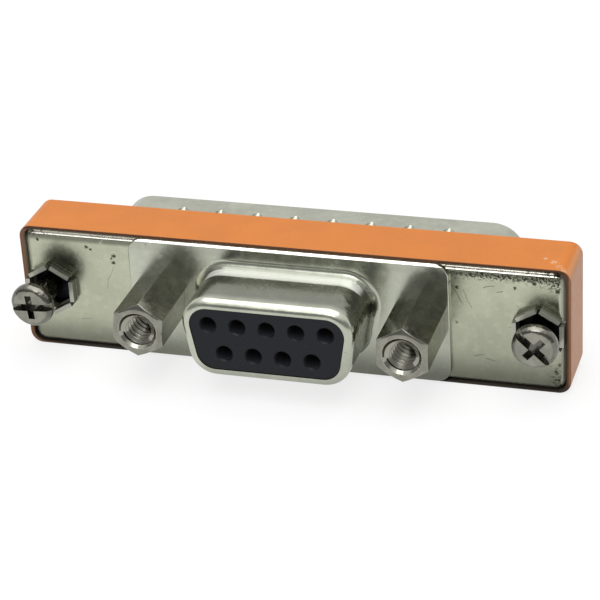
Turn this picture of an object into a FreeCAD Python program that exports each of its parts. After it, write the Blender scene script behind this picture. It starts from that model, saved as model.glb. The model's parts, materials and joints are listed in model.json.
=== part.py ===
import FreeCAD
import Part
import Sketcher

import math
import os

# Short D-sub adapter: a 9-way socket at the front, a 25-way plug at the back.
# Frame: +X along the length, -Y out of the socket, +Z up.
# The origin is on the band's underside, below the middle of the board.
# Depths are measured forward from the board's middle plane, so what lies behind it has a negative depth.

SIZES = (
    # rows of contacts and pins
    ("socket_spacing", 2.77, "between contacts in a row of the socket"),
    ("plug_spacing", 2.76, "between pins in a row of the plug"),
    ("row_spacing", 2.84, "between the two rows, in both connectors"),
    # socket shell: 16.33 by 7.90 outside
    ("socket_side", 2.625, "end contacts of the upper row to the shell's widest line"),
    ("socket_above", 2.53, "contact row to the shell's outside, above and below"),
    ("socket_corner", 2.60, "outside corner radius of the socket's shell"),
    ("socket_reach", 7.10, "front plate to the socket's front edge"),
    ("socket_lip", 0.85, "width of the rolled lip round the socket's mouth"),
    ("socket_nose", 0.80, "outside radius of the rolled lip"),
    ("socket_root", 0.80, "radius where the socket's wall leaves its flange"),
    # plug shell: 38.96 by 8.36 inside
    ("plug_side", 2.92, "end pins of the upper row to the shell's widest line"),
    ("plug_above", 2.76, "pin row to the shell's inside, above and below"),
    ("plug_corner", 2.60, "inside corner radius of the plug's shell"),
    ("plug_reach", 6.10, "rear plate to the plug's edge"),
    ("plug_root", 0.60, "radius where the plug's wall leaves the rear plate"),
    ("plug_rim", 0.15, "rounding of the plug shell's end"),
    ("shell_sheet", 0.45, "sheet of both connector shells"),
    ("shell_slant", 10.0, "lean of the shells' short sides, in degrees"),
    # pressed dimples of the plug's shell
    ("dimple_count", 8, "dimples on each long side"),
    ("dimple_spacing", 3.75, "between dimples"),
    ("dimple_length", 3.20, "length of a dimple"),
    ("dimple_flat", 1.60, "length of a dimple's straight middle"),
    ("dimple_radius", 0.55, "section radius of a dimple"),
    ("dimple_rise", 0.20, "dimple axis above the sheet it is pressed into"),
    ("dimple_inset", 3.30, "plug's edge to the middle of the dimples"),
    # insulators
    ("insulator_gap", 0.05, "clearance between an insulator and its shell"),
    ("socket_border", 1.50, "how far the socket's insulator flanges run past its bore"),
    ("plug_border", 1.30, "how far the plug's insulator flanges run past its bore"),
    ("socket_back", 1.25, "thickness of the socket's rear insulator"),
    ("socket_inset", 0.08, "insulator face below the socket's front edge"),
    ("plug_flange", 0.70, "thickness of the plug insulator's flange"),
    ("plug_inner", 0.65, "thickness of the plug's inner insulator"),
    ("plug_floor", 0.80, "insulator face above the rear plate, inside the plug"),
    # contacts and pins
    ("contact_radius", 0.80, "outside radius of a socket contact"),
    ("contact_bore", 0.52, "bore radius of a socket contact"),
    ("contact_depth", 5.00, "depth of a contact's bore"),
    ("contact_inset", 2.40, "contact's mouth below the insulator's face"),
    ("contact_gap", 0.03, "clearance round contacts, pins and tails"),
    ("funnel_mouth", 0.83, "radius of an insulator hole at the face"),
    ("funnel_throat", 0.72, "radius of an insulator hole at the contact"),
    ("funnel_depth", 0.15, "depth of the funnel"),
    ("tail_radius", 0.35, "radius of the contact and pin tails"),
    ("pin_radius", 0.51, "radius of a pin"),
    ("pin_inset", 0.45, "pin's tip below the plug's edge"),
    ("pin_point", 0.22, "how much a pin's tip narrows"),
    ("pin_taper", 0.36, "length of a pin's tapered tip"),
    # circuit board
    ("board_thickness", 1.00, "thickness of the circuit board"),
    ("board_border", 0.22, "how far the board runs past the plug's bore"),
    ("board_corner", 0.80, "corner radius of the circuit board"),
    ("board_gap", 0.35, "air between the board and the insulators"),
    # band and plates: 52.82 by 12.56 outside, 5.90 deep
    ("band_wall", 0.20, "wall of the band, above and below"),
    ("band_end_wall", 0.40, "wall of the band at its ends"),
    ("band_corner", 1.20, "outside corner radius of the band"),
    ("bore_corner", 1.10, "inside corner radius of the band"),
    ("band_edge", 0.10, "rounding of the band's outer edges"),
    ("band_air", 0.60, "air between the plug's insulator flange and the band, above and below"),
    ("band_end_air", 0.34, "air between a captive washer and the band's end"),
    ("front_recess", 0.05, "front plate's face below the band's edge"),
    ("rear_recess", 0.30, "rear plate's face below the band's edge"),
    ("plate_fit", 0.05, "clearance between the plates and the band"),
    ("plate_thickness", 0.80, "thickness of the front plate"),
    ("plate_edge_radius", 0.70, "rolled radius of the front plate's edge"),
    ("rear_edge_radius", 0.35, "rolled radius of the rear plate's edge"),
    ("flange_fit", 0.03, "clearance between the socket's flange and the band"),
    ("flange_side", 2.87, "standoff axis to the end of the socket's flange"),
    ("flange_corner", 1.40, "corner radius of the socket's flange"),
    ("flange_edge", 0.12, "rounding of the socket flange's edge"),
    # threads
    ("thread_radius", 1.42, "outside radius of the studs and the lock screws"),
    ("thread_bore", 1.17, "radius of a tapped bore, at the thread's crests"),
    ("thread_clearance", 0.13, "clearance of a thread in a plain hole"),
    # jack standoffs and their nuts: 24.99 between their axes
    ("jack_air", 0.455, "air between a nut and the socket's rear insulator"),
    ("jack_flats", 4.75, "across flats of a standoff"),
    ("jack_length", 6.52, "hex length of a standoff"),
    ("jack_face", 2.30, "radius of the flat face at a standoff's tip"),
    ("jack_bevel", 30.0, "angle of the corner bevel, in degrees"),
    ("jack_mouth", 1.64, "radius of the countersunk mouth"),
    ("jack_bore_depth", 5.20, "depth of a standoff's bore"),
    ("jack_turn_left", 5.0, "how far the left standoff is turned, in degrees"),
    ("jack_turn_right", 1.0, "how far the right standoff is turned, in degrees"),
    ("nut_flats", 4.75, "across flats of a nut"),
    ("nut_clearance", 0.03, "clearance between a nut and its stud"),
    ("stud_past_nut", 0.10, "stud beyond its nut"),
    ("stud_air", 0.15, "air between a stud and the board"),
    # captive washers, and the collars that stop them: 47.04 between the lock screws
    ("washer_radius", 2.15, "outside radius of a captive washer"),
    ("washer_thickness", 0.80, "thickness of a captive washer"),
    ("washer_gap", 0.05, "running clearance of a washer in its groove"),
    ("washer_air", 0.59, "air between a washer and the plug's insulator flange"),
    ("washer_end_gap", 0.15, "left between a washer and the rear plate when its screw is fully in"),
    ("washer_catch", 0.175, "how far a washer reaches past the flats of its collar's opening"),
    ("collar_wall", 0.40, "thickness of a collar's tab"),
    ("collar_height", 0.90, "height of the tabs above the plate"),
    ("collar_slit", 0.20, "gap between two tabs"),
    # lock screws
    ("head_catch", 0.145, "how far a screw's head reaches past the flats of the collar's opening"),
    ("head_height", 1.15, "height of the head"),
    ("head_dome", 0.62, "rounding of the head's front edge"),
    ("head_heel", 0.22, "rounding of the head's rear edge"),
    ("lock_neck", 1.10, "radius of the shank"),
    ("lock_groove", 0.90, "radius in the washer's groove"),
    ("lock_inset", 0.30, "tip short of the plug's edge when the screw is fully in"),
    ("lock_thread_length", 2.85, "length of the threaded end"),
    ("lock_point", 0.40, "chamfer at the threaded end"),
    ("lock_short_left", 0.85, "how far the left screw stands short of fully out"),
    ("lock_short_right", 1.85, "how far the right screw stands short of fully out"),
    ("lock_lean_left", 3.5, "how far the left screw leans outwards, in degrees"),
    ("lock_lean_right", 1.2, "how far the right screw leans outwards, in degrees"),
    ("lock_turn_left", 5.0, "slot angle of the left screw, in degrees"),
    ("lock_turn_right", 137.0, "slot angle of the right screw, in degrees"),
    ("slot_width", 0.72, "width of the full slot"),
    ("slot_depth", 0.55, "depth of the full slot"),
    ("cross_width", 0.66, "width of the cross recess"),
    ("cross_length", 2.40, "length of the cross recess"),
    ("cross_depth", 0.85, "depth of the cross recess"),
)

# contacts in the upper row of each connector; the lower row has one less
SOCKET_UPPER = 5
PLUG_UPPER = 13

# how far a cut runs past the edge that it crosses, and how near counts as the same place
CUT_PAST = 1.0
NEAR = 0.1
SAME = 1e-4


class Size:
    """A number together with the expression that drives it."""

    def __init__(self, number, text):
        self.number = number
        self.text = text

    def __add__(self, other):
        other = as_size(other)
        return Size(self.number + other.number, f"({self.text} + {other.text})")

    def __sub__(self, other):
        other = as_size(other)
        return Size(self.number - other.number, f"({self.text} - {other.text})")

    def __mul__(self, other):
        other = as_size(other)
        return Size(self.number * other.number, f"({self.text} * {other.text})")

    def __truediv__(self, other):
        other = as_size(other)
        return Size(self.number / other.number, f"({self.text} / {other.text})")

    def __neg__(self):
        return Size(-self.number, f"(0 - {self.text})")

    __rmul__ = __mul__


def as_size(value):
    """Take a plain number as a size too."""
    return value if isinstance(value, Size) else Size(value, repr(value))


def tangent(angle):
    """The tangent of an angle in degrees."""
    return Size(math.tan(math.radians(angle.number)), f"tan({angle.text} * 1 deg)")


class Sheet:
    """The spreadsheet of driving sizes; each size is an attribute of this object."""

    def __init__(self, doc, table):
        cells = doc.addObject("Spreadsheet::Sheet", "Sizes")
        for row, (alias, number, note) in enumerate(table, 1):
            cells.set(f"A{row}", alias)
            cells.set(f"B{row}", str(number))
            cells.setAlias(f"B{row}", alias)
            cells.set(f"C{row}", note)
            setattr(self, alias, Size(number, f"Sizes.{alias}"))
        doc.recompute()


doc = FreeCAD.newDocument("Adapter")
S = Sheet(doc, SIZES)

# outlines of the two D shapes
socket_width = S.socket_spacing * (SOCKET_UPPER - 1) + S.socket_side * 2
socket_height = S.row_spacing + S.socket_above * 2
cavity_width = socket_width - S.shell_sheet * 2
cavity_height = socket_height - S.shell_sheet * 2
cavity_corner = S.socket_corner - S.shell_sheet
plug_width = S.plug_spacing * (PLUG_UPPER - 1) + S.plug_side * 2
plug_height = S.row_spacing + S.plug_above * 2

# places of the standoffs and the lock screws, left and right of the middle
jack_side = cavity_width / 2 + S.shell_sheet + S.socket_border + S.nut_flats / 2 + S.jack_air
lock_side = plug_width / 2 + S.plug_border + S.washer_radius + S.washer_air
collar_opening = (S.washer_radius - S.washer_catch) * 2
collar_flats = collar_opening + S.collar_wall * 2
head_radius = collar_opening / 2 + S.head_catch
hole_radius = S.thread_radius + S.thread_clearance

# outlines of the band, its bore and the plates
bore_width = (lock_side + S.washer_radius + S.band_end_air) * 2
bore_height = plug_height + (S.plug_border + S.band_air) * 2
plate_width = bore_width - S.plate_fit * 2
plate_height = bore_height - S.plate_fit * 2
plate_corner = S.bore_corner - S.plate_fit
axis_height = bore_height / 2 + S.band_wall

# depths, stacked from the board outwards
board_face = S.board_thickness / 2
socket_back_face = board_face + S.board_gap
plate_back = socket_back_face + S.socket_back
plate_face = plate_back + S.plate_thickness
flange_face = plate_face + S.shell_sheet
socket_edge = plate_face + S.socket_reach
socket_insulator_face = socket_edge - S.socket_inset
contact_mouth = socket_insulator_face - S.contact_inset
collar_face = plate_face + S.collar_height
plug_inner_face = -(board_face + S.board_gap)
plug_flange_face = plug_inner_face - S.plug_inner
rear_inside = plug_flange_face - S.plug_flange
rear_face = rear_inside - S.shell_sheet
plug_floor_face = rear_face - S.plug_floor
plug_edge = rear_face - S.plug_reach
band_front = plate_face + S.front_recess
band_rear = rear_face - S.rear_recess

# lock screws: how far they slide, and the middle of their rear holes
lock_travel = plate_back - rear_inside - S.washer_thickness - S.washer_end_gap
pivot_depth = (rear_face + rear_inside) / 2


def bind(thing, path, size):
    """Drive one property of an object from the sheet."""
    thing.setExpression(path, as_size(size).text)


def new_body(name, x=0, y=0, z=0):
    """Start a sub-part; its own origin stands at x, y and at z above the connectors' axis."""
    body = doc.addObject("PartDesign::Body", name)
    body.Label = name
    bind(body, "Placement.Base.x", x)
    bind(body, "Placement.Base.y", y)
    bind(body, "Placement.Base.z", axis_height + z)
    return body


def sketch_on(body, role, x=0, y=0, z=0):
    """Attach a sketch to one of the body's own origin planes, shifted in the sketch's own axes."""
    sketch = body.newObject("Sketcher::SketchObject", body.Name + "_sketch")
    for feature in body.Origin.OriginFeatures:
        if feature.Role == role:
            sketch.AttachmentSupport = [(feature, "")]
    sketch.MapMode = "FlatFace"
    bind(sketch, "AttachmentOffset.Base.x", x)
    bind(sketch, "AttachmentOffset.Base.y", y)
    bind(sketch, "AttachmentOffset.Base.z", z)
    return sketch


def facing(body, depth, x=0, z=0):
    """A sketch across the depth, seen from the socket's side: its normal points forward."""
    return sketch_on(body, "XZ_Plane", x, z, depth)


def constrain(sketch, kind, *places, size=None):
    """Add one constraint, and drive it from the sheet if it has a size."""
    if size is None:
        sketch.addConstraint(Sketcher.Constraint(kind, *places))
        return
    size = as_size(size)
    index = sketch.addConstraint(Sketcher.Constraint(kind, *places, size.number))
    if size.text.startswith(("(", "Sizes", "tan")):
        sketch.setExpression(f"Constraints[{index}]", size.text)


def fix_point(sketch, edge, end, x, z):
    """Hold an edge's point (1 start, 2 end, 3 centre) at x, z from the sketch's origin."""
    for kind, axis, size in (("DistanceX", -2, as_size(x)), ("DistanceY", -1, as_size(z))):
        if size.text in ("0", "0.0"):
            constrain(sketch, "PointOnObject", edge, end, axis)
        elif size.number < 0:
            constrain(sketch, kind, edge, end, -1, 1, size=-size)
        else:
            constrain(sketch, kind, -1, 1, edge, end, size=size)


def line(sketch, start, end):
    """Add a straight edge and return its number."""
    return sketch.addGeometry(Part.LineSegment(FreeCAD.Vector(*start, 0), FreeCAD.Vector(*end, 0)), False)


def arc(sketch, centre, radius, start_angle, end_angle):
    """Add an arc, anticlockwise between two angles in radians, and return its number."""
    circle = Part.Circle(FreeCAD.Vector(*centre, 0), FreeCAD.Vector(0, 0, 1), radius)
    return sketch.addGeometry(Part.ArcOfCircle(circle, start_angle, end_angle), False)


def draw_outline(sketch, width, height, corner, slant=None):
    """Draw four lines and four corner arcs about the sketch's origin.

    The width is taken at the upper corners. With a slant, the short sides lean in towards the bottom.
    """
    lean = math.radians(slant.number) if slant else 0.0
    radius = corner.number
    top = height.number / 2
    upper = width.number / 2 - radius
    lower = upper - (height.number - 2 * radius) * math.tan(lean)
    side_x = radius * math.cos(lean)
    side_z = radius * math.sin(lean)
    centre_z = top - radius
    right_top = (upper + side_x, centre_z - side_z)
    right_bottom = (lower + side_x, -centre_z - side_z)
    left_top = (-upper - side_x, centre_z - side_z)
    left_bottom = (-lower - side_x, -centre_z - side_z)
    head = line(sketch, (-upper, top), (upper, top))
    arc_1 = arc(sketch, (upper, centre_z), radius, -lean, math.pi / 2)
    right = line(sketch, right_bottom, right_top)
    arc_2 = arc(sketch, (lower, -centre_z), radius, -math.pi / 2, -lean)
    foot = line(sketch, (lower, -top), (-lower, -top))
    arc_3 = arc(sketch, (-lower, -centre_z), radius, math.pi + lean, math.pi * 1.5)
    left = line(sketch, left_bottom, left_top)
    arc_4 = arc(sketch, (-upper, centre_z), radius, math.pi / 2, math.pi + lean)
    joints = (
        (head, 2, arc_1, 2), (arc_1, 1, right, 2), (right, 1, arc_2, 2), (arc_2, 1, foot, 1),
        (foot, 2, arc_3, 2), (arc_3, 1, left, 1), (left, 2, arc_4, 2), (arc_4, 1, head, 1),
    )
    for joint in joints:
        constrain(sketch, "Tangent", *joint)
    constrain(sketch, "Horizontal", head)
    constrain(sketch, "Horizontal", foot)
    if slant:
        constrain(sketch, "Angle", right, size=Size(math.radians(90) - lean, f"(90 - {slant.text}) * 1 deg"))
        constrain(sketch, "Angle", left, size=Size(math.radians(90) + lean, f"(90 + {slant.text}) * 1 deg"))
    else:
        constrain(sketch, "Vertical", right)
        constrain(sketch, "Vertical", left)
    constrain(sketch, "Radius", arc_1, size=corner)
    for other in (arc_2, arc_3, arc_4):
        constrain(sketch, "Equal", arc_1, other)
    constrain(sketch, "DistanceX", -1, 1, arc_1, 3, size=width / 2 - corner)
    constrain(sketch, "DistanceX", arc_4, 3, -1, 1, size=width / 2 - corner)
    constrain(sketch, "DistanceY", -1, 1, head, 1, size=height / 2)
    constrain(sketch, "DistanceY", foot, 1, -1, 1, size=height / 2)


def draw_around(sketch, width, height, corner, border):
    """Draw a D outline a border larger than another one all round, or smaller where it is negative."""
    draw_outline(sketch, width + border * 2, height + border * 2, corner + border, S.shell_slant)


def draw_polygon(sketch, points):
    """Draw a closed outline through points given as sizes."""
    places = [(as_size(x).number, as_size(z).number) for x, z in points]
    edges = [line(sketch, place, places[(i + 1) % len(places)]) for i, place in enumerate(places)]
    for i, edge in enumerate(edges):
        constrain(sketch, "Coincident", edge, 2, edges[(i + 1) % len(edges)], 1)
    for edge, (x, z) in zip(edges, points):
        fix_point(sketch, edge, 1, x, z)


def draw_box(sketch, low, high):
    """Draw a rectangle between two corners given as sizes."""
    draw_polygon(sketch, (low, (high[0], low[1]), high, (low[0], high[1])))


def draw_hexagon(sketch, flats):
    """Draw a hexagon about the sketch's origin, with a corner at the top."""
    across = flats / 2
    reach = flats / math.sqrt(3)
    points = (
        (0, reach), (across, reach / 2), (across, -reach / 2),
        (0, -reach), (-across, -reach / 2), (-across, reach / 2),
    )
    draw_polygon(sketch, points)


def draw_circle(sketch, radius, x=0, z=0):
    """Draw a circle."""
    centre = FreeCAD.Vector(as_size(x).number, as_size(z).number, 0)
    edge = sketch.addGeometry(Part.Circle(centre, FreeCAD.Vector(0, 0, 1), radius.number), False)
    constrain(sketch, "Radius", edge, size=radius)
    fix_point(sketch, edge, 3, x, z)


def pad(body, sketch, length, backward=False):
    """Raise a sketch forward, or backward."""
    feature = body.newObject("PartDesign::Pad", body.Name + "_pad")
    feature.Profile = sketch
    bind(feature, "Length", length)
    feature.Reversed = backward
    sketch.Visibility = False
    return feature


def pocket(body, sketch, length):
    """Cut a sketch backward into the body."""
    feature = body.newObject("PartDesign::Pocket", body.Name + "_pocket")
    feature.Profile = sketch
    bind(feature, "Length", length)
    return feature


def spin(body, points, x=0, y=0, z=0, cut=False):
    """Turn a profile of (radius, distance back from y) points about an axis along Y."""
    sketch = sketch_on(body, "XY_Plane", x, y, z)
    draw_polygon(sketch, points)
    kind = "PartDesign::Groove" if cut else "PartDesign::Revolution"
    feature = body.newObject(kind, body.Name + "_turned")
    feature.Profile = sketch
    feature.ReferenceAxis = (sketch, ["V_Axis"])
    feature.Angle = 360
    return feature


def repeat(body, feature, spacing, count):
    """Repeat a feature along X."""
    pattern = body.newObject("PartDesign::LinearPattern", body.Name + "_row")
    pattern.Originals = [feature]
    pattern.Direction = (feature.Profile[0], ["H_Axis"])
    bind(pattern, "Length", spacing * (as_size(count) - 1))
    bind(pattern, "Occurrences", count)
    body.Tip = pattern
    return pattern


def edges_where(feature, test):
    """Names of the feature's edges that pass a test."""
    doc.recompute()
    return [f"Edge{i}" for i, edge in enumerate(feature.Shape.Edges, 1) if test(edge)]


def at_depth(depth):
    """A test for edges that lie in one plane across the depth."""
    level = -as_size(depth).number

    def test(edge):
        box = edge.BoundBox
        return abs(box.YMin - level) < SAME and abs(box.YMax - level) < SAME

    return test


def both(first, second):
    """A test that needs two tests to pass."""
    return lambda edge: first(edge) and second(edge)


def either(first, second):
    """A test that needs one of two tests to pass."""
    return lambda edge: first(edge) or second(edge)


def within(width, height):
    """A test for edges inside a rectangle about the connectors' axis, or on its sides."""
    def test(edge):
        box = edge.BoundBox
        inside_x = max(abs(box.XMin), abs(box.XMax)) < width.number / 2 + NEAR
        inside_z = max(abs(box.ZMin), abs(box.ZMax)) < height.number / 2 + NEAR
        return inside_x and inside_z

    return test


def beyond(width, height):
    """A test for edges that reach past a rectangle about the connectors' axis."""
    inside = within(width, height)
    return lambda edge: not inside(edge)


def round_edges(body, feature, test, radius):
    """Fillet the feature's edges that pass a test."""
    fillet = body.newObject("PartDesign::Fillet", body.Name + "_rounding")
    fillet.Base = (feature, edges_where(feature, test))
    bind(fillet, "Radius", radius)
    return fillet


def row_start(spacing, count):
    """The x of the first place of a centred row."""
    return -(spacing * (as_size(count) - 1) / 2)


def contact_rows(spacing, upper_count):
    """The two rows: first x, height above the axis and number of places."""
    return (
        (row_start(spacing, upper_count), S.row_spacing / 2, upper_count),
        (row_start(spacing, upper_count - 1), -S.row_spacing / 2, upper_count - 1),
    )


def bore_rows(body, points, depth, spacing, upper_count):
    """Cut the same turned hole at every place of both rows, starting at a depth."""
    for x, z, count in contact_rows(spacing, upper_count):
        hole = spin(body, points, x, -depth, z, cut=True)
        repeat(body, hole, spacing, count)


def plain_hole(radius, length):
    """Profile of a straight hole."""
    return ((0, 0), (radius, 0), (radius, length), (0, length))


def make_band():
    """The plastic band: an open loop round both plates."""
    body = new_body("band")
    sketch = facing(body, band_rear)
    draw_outline(sketch, bore_width + S.band_end_wall * 2, bore_height + S.band_wall * 2, S.band_corner)
    draw_outline(sketch, bore_width, bore_height, S.bore_corner)
    loop = pad(body, sketch, band_front - band_rear)
    ends = either(at_depth(band_front), at_depth(band_rear))
    round_edges(body, loop, both(ends, beyond(bore_width, bore_height)), S.band_edge)
    return body


def add_collar(body, side):
    """Six tabs bent forward round a hexagonal hole."""
    x = lock_side * side
    hole = facing(body, plate_face, x)
    draw_hexagon(hole, collar_opening)
    pocket(body, hole, S.plate_thickness)
    tab = facing(body, plate_back, x)
    half = collar_opening / (2 * math.sqrt(3)) - S.collar_slit / 2
    draw_box(tab, (collar_opening / 2, -half), (collar_flats / 2, half))
    raised = pad(body, tab, S.plate_thickness + S.collar_height)
    ring = body.newObject("PartDesign::PolarPattern", "collar")
    ring.Originals = [raised]
    ring.Axis = (tab, ["N_Axis"])
    ring.Angle = 360
    ring.Occurrences = 6
    body.Tip = ring


def make_front_plate():
    """The front plate, with a rolled edge, the socket's cut-out and two hex collars."""
    body = new_body("front_plate")
    sketch = facing(body, plate_back)
    draw_outline(sketch, plate_width, plate_height, plate_corner)
    sheet = pad(body, sketch, S.plate_thickness)
    round_edges(body, sheet, at_depth(plate_face), S.plate_edge_radius)
    opening = facing(body, plate_face)
    draw_around(opening, cavity_width, cavity_height, cavity_corner, S.socket_border)
    for side in (-1, 1):
        draw_circle(opening, hole_radius, jack_side * side)
    pocket(body, opening, S.plate_thickness)
    for side in (-1, 1):
        add_collar(body, side)
    return body


def make_socket_shell():
    """The socket's drawn shell: a flange and a D-shaped tube with a rolled mouth."""
    body = new_body("socket_shell")
    flange = facing(body, plate_face)
    flange_height = bore_height - S.flange_fit * 2
    draw_outline(flange, (jack_side + S.flange_side) * 2, flange_height, S.flange_corner)
    sheet = pad(body, flange, S.shell_sheet)
    round_edges(body, sheet, at_depth(flange_face), S.flange_edge)
    tube = facing(body, plate_face)
    draw_outline(tube, socket_width, socket_height, S.socket_corner, S.shell_slant)
    drawn = pad(body, tube, S.socket_reach)
    root_edges = both(at_depth(flange_face), within(socket_width, socket_height))
    rooted = round_edges(body, drawn, root_edges, S.socket_root)
    round_edges(body, rooted, at_depth(socket_edge), S.socket_nose)
    inner = facing(body, socket_edge - S.shell_sheet)
    draw_outline(inner, cavity_width, cavity_height, cavity_corner, S.shell_slant)
    hollow = pocket(body, inner, S.socket_reach - S.shell_sheet)
    back_edges = both(at_depth(plate_face), within(cavity_width, cavity_height))
    round_edges(body, hollow, back_edges, S.socket_root + S.shell_sheet)
    mouth = facing(body, socket_edge)
    draw_around(mouth, socket_width, socket_height, S.socket_corner, -S.socket_lip)
    for side in (-1, 1):
        draw_circle(mouth, hole_radius, jack_side * side)
    pocket(body, mouth, S.socket_reach)
    return body


def make_socket_insulator_front():
    """The socket's front insulator: a nose behind the rolled lip, and a flange in the plate."""
    body = new_body("socket_insulator_front")
    flange = facing(body, plate_back)
    draw_around(flange, cavity_width, cavity_height, cavity_corner, S.socket_border - S.insulator_gap)
    pad(body, flange, S.plate_thickness)
    nose = facing(body, plate_face)
    draw_around(nose, cavity_width, cavity_height, cavity_corner, -S.insulator_gap)
    pad(body, nose, S.socket_reach - S.shell_sheet - S.insulator_gap)
    face = facing(body, plate_face)
    draw_around(face, socket_width, socket_height, S.socket_corner, -(S.socket_lip + S.insulator_gap))
    pad(body, face, S.socket_reach - S.socket_inset)
    cavity = S.contact_radius + S.contact_gap
    length = socket_insulator_face - plate_back
    funnel = (
        (0, 0),
        (S.funnel_mouth, 0),
        (S.funnel_throat, S.funnel_depth),
        (S.funnel_throat, S.contact_inset),
        (cavity, S.contact_inset),
        (cavity, length),
        (0, length),
    )
    bore_rows(body, funnel, socket_insulator_face, S.socket_spacing, SOCKET_UPPER)
    return body


def make_socket_insulator_back():
    """The socket's rear insulator: a plate behind the front plate that holds the contacts."""
    body = new_body("socket_insulator_back")
    sketch = facing(body, socket_back_face)
    draw_around(sketch, cavity_width, cavity_height, cavity_corner, S.socket_border + S.shell_sheet)
    pad(body, sketch, S.socket_back)
    hole = plain_hole(S.tail_radius + S.contact_gap, S.socket_back)
    bore_rows(body, hole, plate_back, S.socket_spacing, SOCKET_UPPER)
    return body


def make_socket_contacts():
    """Nine female contacts, from their mouths back to the board."""
    barrel = contact_mouth - plate_back
    length = contact_mouth - board_face
    profile = (
        (S.contact_bore, 0),
        (S.contact_radius, 0),
        (S.contact_radius, barrel),
        (S.tail_radius, barrel),
        (S.tail_radius, length),
        (0, length),
        (0, S.contact_depth),
        (S.contact_bore, S.contact_depth),
    )
    number = 0
    for first, z, count in contact_rows(S.socket_spacing, SOCKET_UPPER):
        for place in range(count):
            number += 1
            body = new_body(f"socket_contact_{number}", first + S.socket_spacing * place, -contact_mouth, z)
            spin(body, profile)
            yield body


def make_circuit_board():
    """The board between the tails of the two connectors."""
    body = new_body("circuit_board")
    sketch = facing(body, -board_face)
    border = S.board_border * 2
    draw_outline(sketch, plug_width + border, plug_height + border, S.board_corner)
    pad(body, sketch, S.board_thickness)
    return body


def add_dimples(body, side):
    """A row of pressed dimples: dents outside and matching bumps inside."""
    middle = plug_edge + S.dimple_inset
    first = row_start(S.dimple_spacing, S.dimple_count)
    bump = plug_height / 2 + S.dimple_rise
    dent = bump + S.shell_sheet
    profile = (
        (0, 0),
        (S.dimple_radius, (S.dimple_length - S.dimple_flat) / 2),
        (S.dimple_radius, (S.dimple_length + S.dimple_flat) / 2),
        (0, S.dimple_length),
    )
    for height, cut in ((bump, False), (dent, True)):
        shape = spin(body, profile, first, -middle - S.dimple_length / 2, height * side, cut)
        repeat(body, shape, S.dimple_spacing, S.dimple_count)


def make_pin_shell():
    """The plug's drawn shell, in one piece with the rear plate."""
    body = new_body("pin_shell")
    sketch = facing(body, rear_face)
    draw_outline(sketch, plate_width, plate_height, plate_corner)
    sheet = pad(body, sketch, S.shell_sheet)
    round_edges(body, sheet, at_depth(rear_face), S.rear_edge_radius)
    tube = facing(body, rear_inside)
    outer_width = plug_width + S.shell_sheet * 2
    outer_height = plug_height + S.shell_sheet * 2
    draw_outline(tube, outer_width, outer_height, S.plug_corner + S.shell_sheet, S.shell_slant)
    drawn = pad(body, tube, S.plug_reach + S.shell_sheet, backward=True)
    root_edges = both(at_depth(rear_face), within(outer_width, outer_height))
    rooted = round_edges(body, drawn, root_edges, S.plug_root)
    round_edges(body, rooted, at_depth(plug_edge), S.plug_rim)
    inner = facing(body, rear_inside)
    draw_outline(inner, plug_width, plug_height, S.plug_corner, S.shell_slant)
    for side in (-1, 1):
        draw_circle(inner, hole_radius, lock_side * side)
    hollow = pocket(body, inner, S.plug_reach + S.shell_sheet)
    back_edges = both(at_depth(rear_inside), within(plug_width, plug_height))
    round_edges(body, hollow, back_edges, S.plug_root + S.shell_sheet)
    for side in (-1, 1):
        add_dimples(body, side)
    return body


def make_pin_insulator_outer():
    """The plug's outer insulator: a flange against the rear plate and a floor inside the shell."""
    body = new_body("pin_insulator_outer")
    flange = facing(body, rear_inside)
    draw_around(flange, plug_width, plug_height, S.plug_corner, S.plug_border)
    pad(body, flange, S.plug_flange)
    nose = facing(body, rear_inside)
    draw_around(nose, plug_width, plug_height, S.plug_corner, -S.insulator_gap)
    pad(body, nose, S.shell_sheet + S.plug_floor, backward=True)
    hole = plain_hole(S.pin_radius + S.contact_gap, plug_flange_face - plug_floor_face)
    bore_rows(body, hole, plug_flange_face, S.plug_spacing, PLUG_UPPER)
    return body


def make_pin_insulator_inner():
    """The plug's inner insulator, which backs the shoulders of the pins."""
    body = new_body("pin_insulator_inner")
    sketch = facing(body, plug_flange_face)
    draw_around(sketch, plug_width, plug_height, S.plug_corner, S.plug_border)
    pad(body, sketch, S.plug_inner)
    hole = plain_hole(S.tail_radius + S.contact_gap, S.plug_inner)
    bore_rows(body, hole, plug_inner_face, S.plug_spacing, PLUG_UPPER)
    return body


def make_pins():
    """Twenty-five male pins, from the board to their tips."""
    start = -board_face
    shoulder = start - plug_flange_face
    length = start - (plug_edge + S.pin_inset)
    profile = (
        (0, 0),
        (S.tail_radius, 0),
        (S.tail_radius, shoulder),
        (S.pin_radius, shoulder),
        (S.pin_radius, length - S.pin_taper),
        (S.pin_radius - S.pin_point, length),
        (0, length),
    )
    number = 0
    for first, z, count in contact_rows(S.plug_spacing, PLUG_UPPER):
        for place in range(count):
            number += 1
            body = new_body(f"pin_{number}", first + S.plug_spacing * place, board_face, z)
            spin(body, profile)
            yield body


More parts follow.
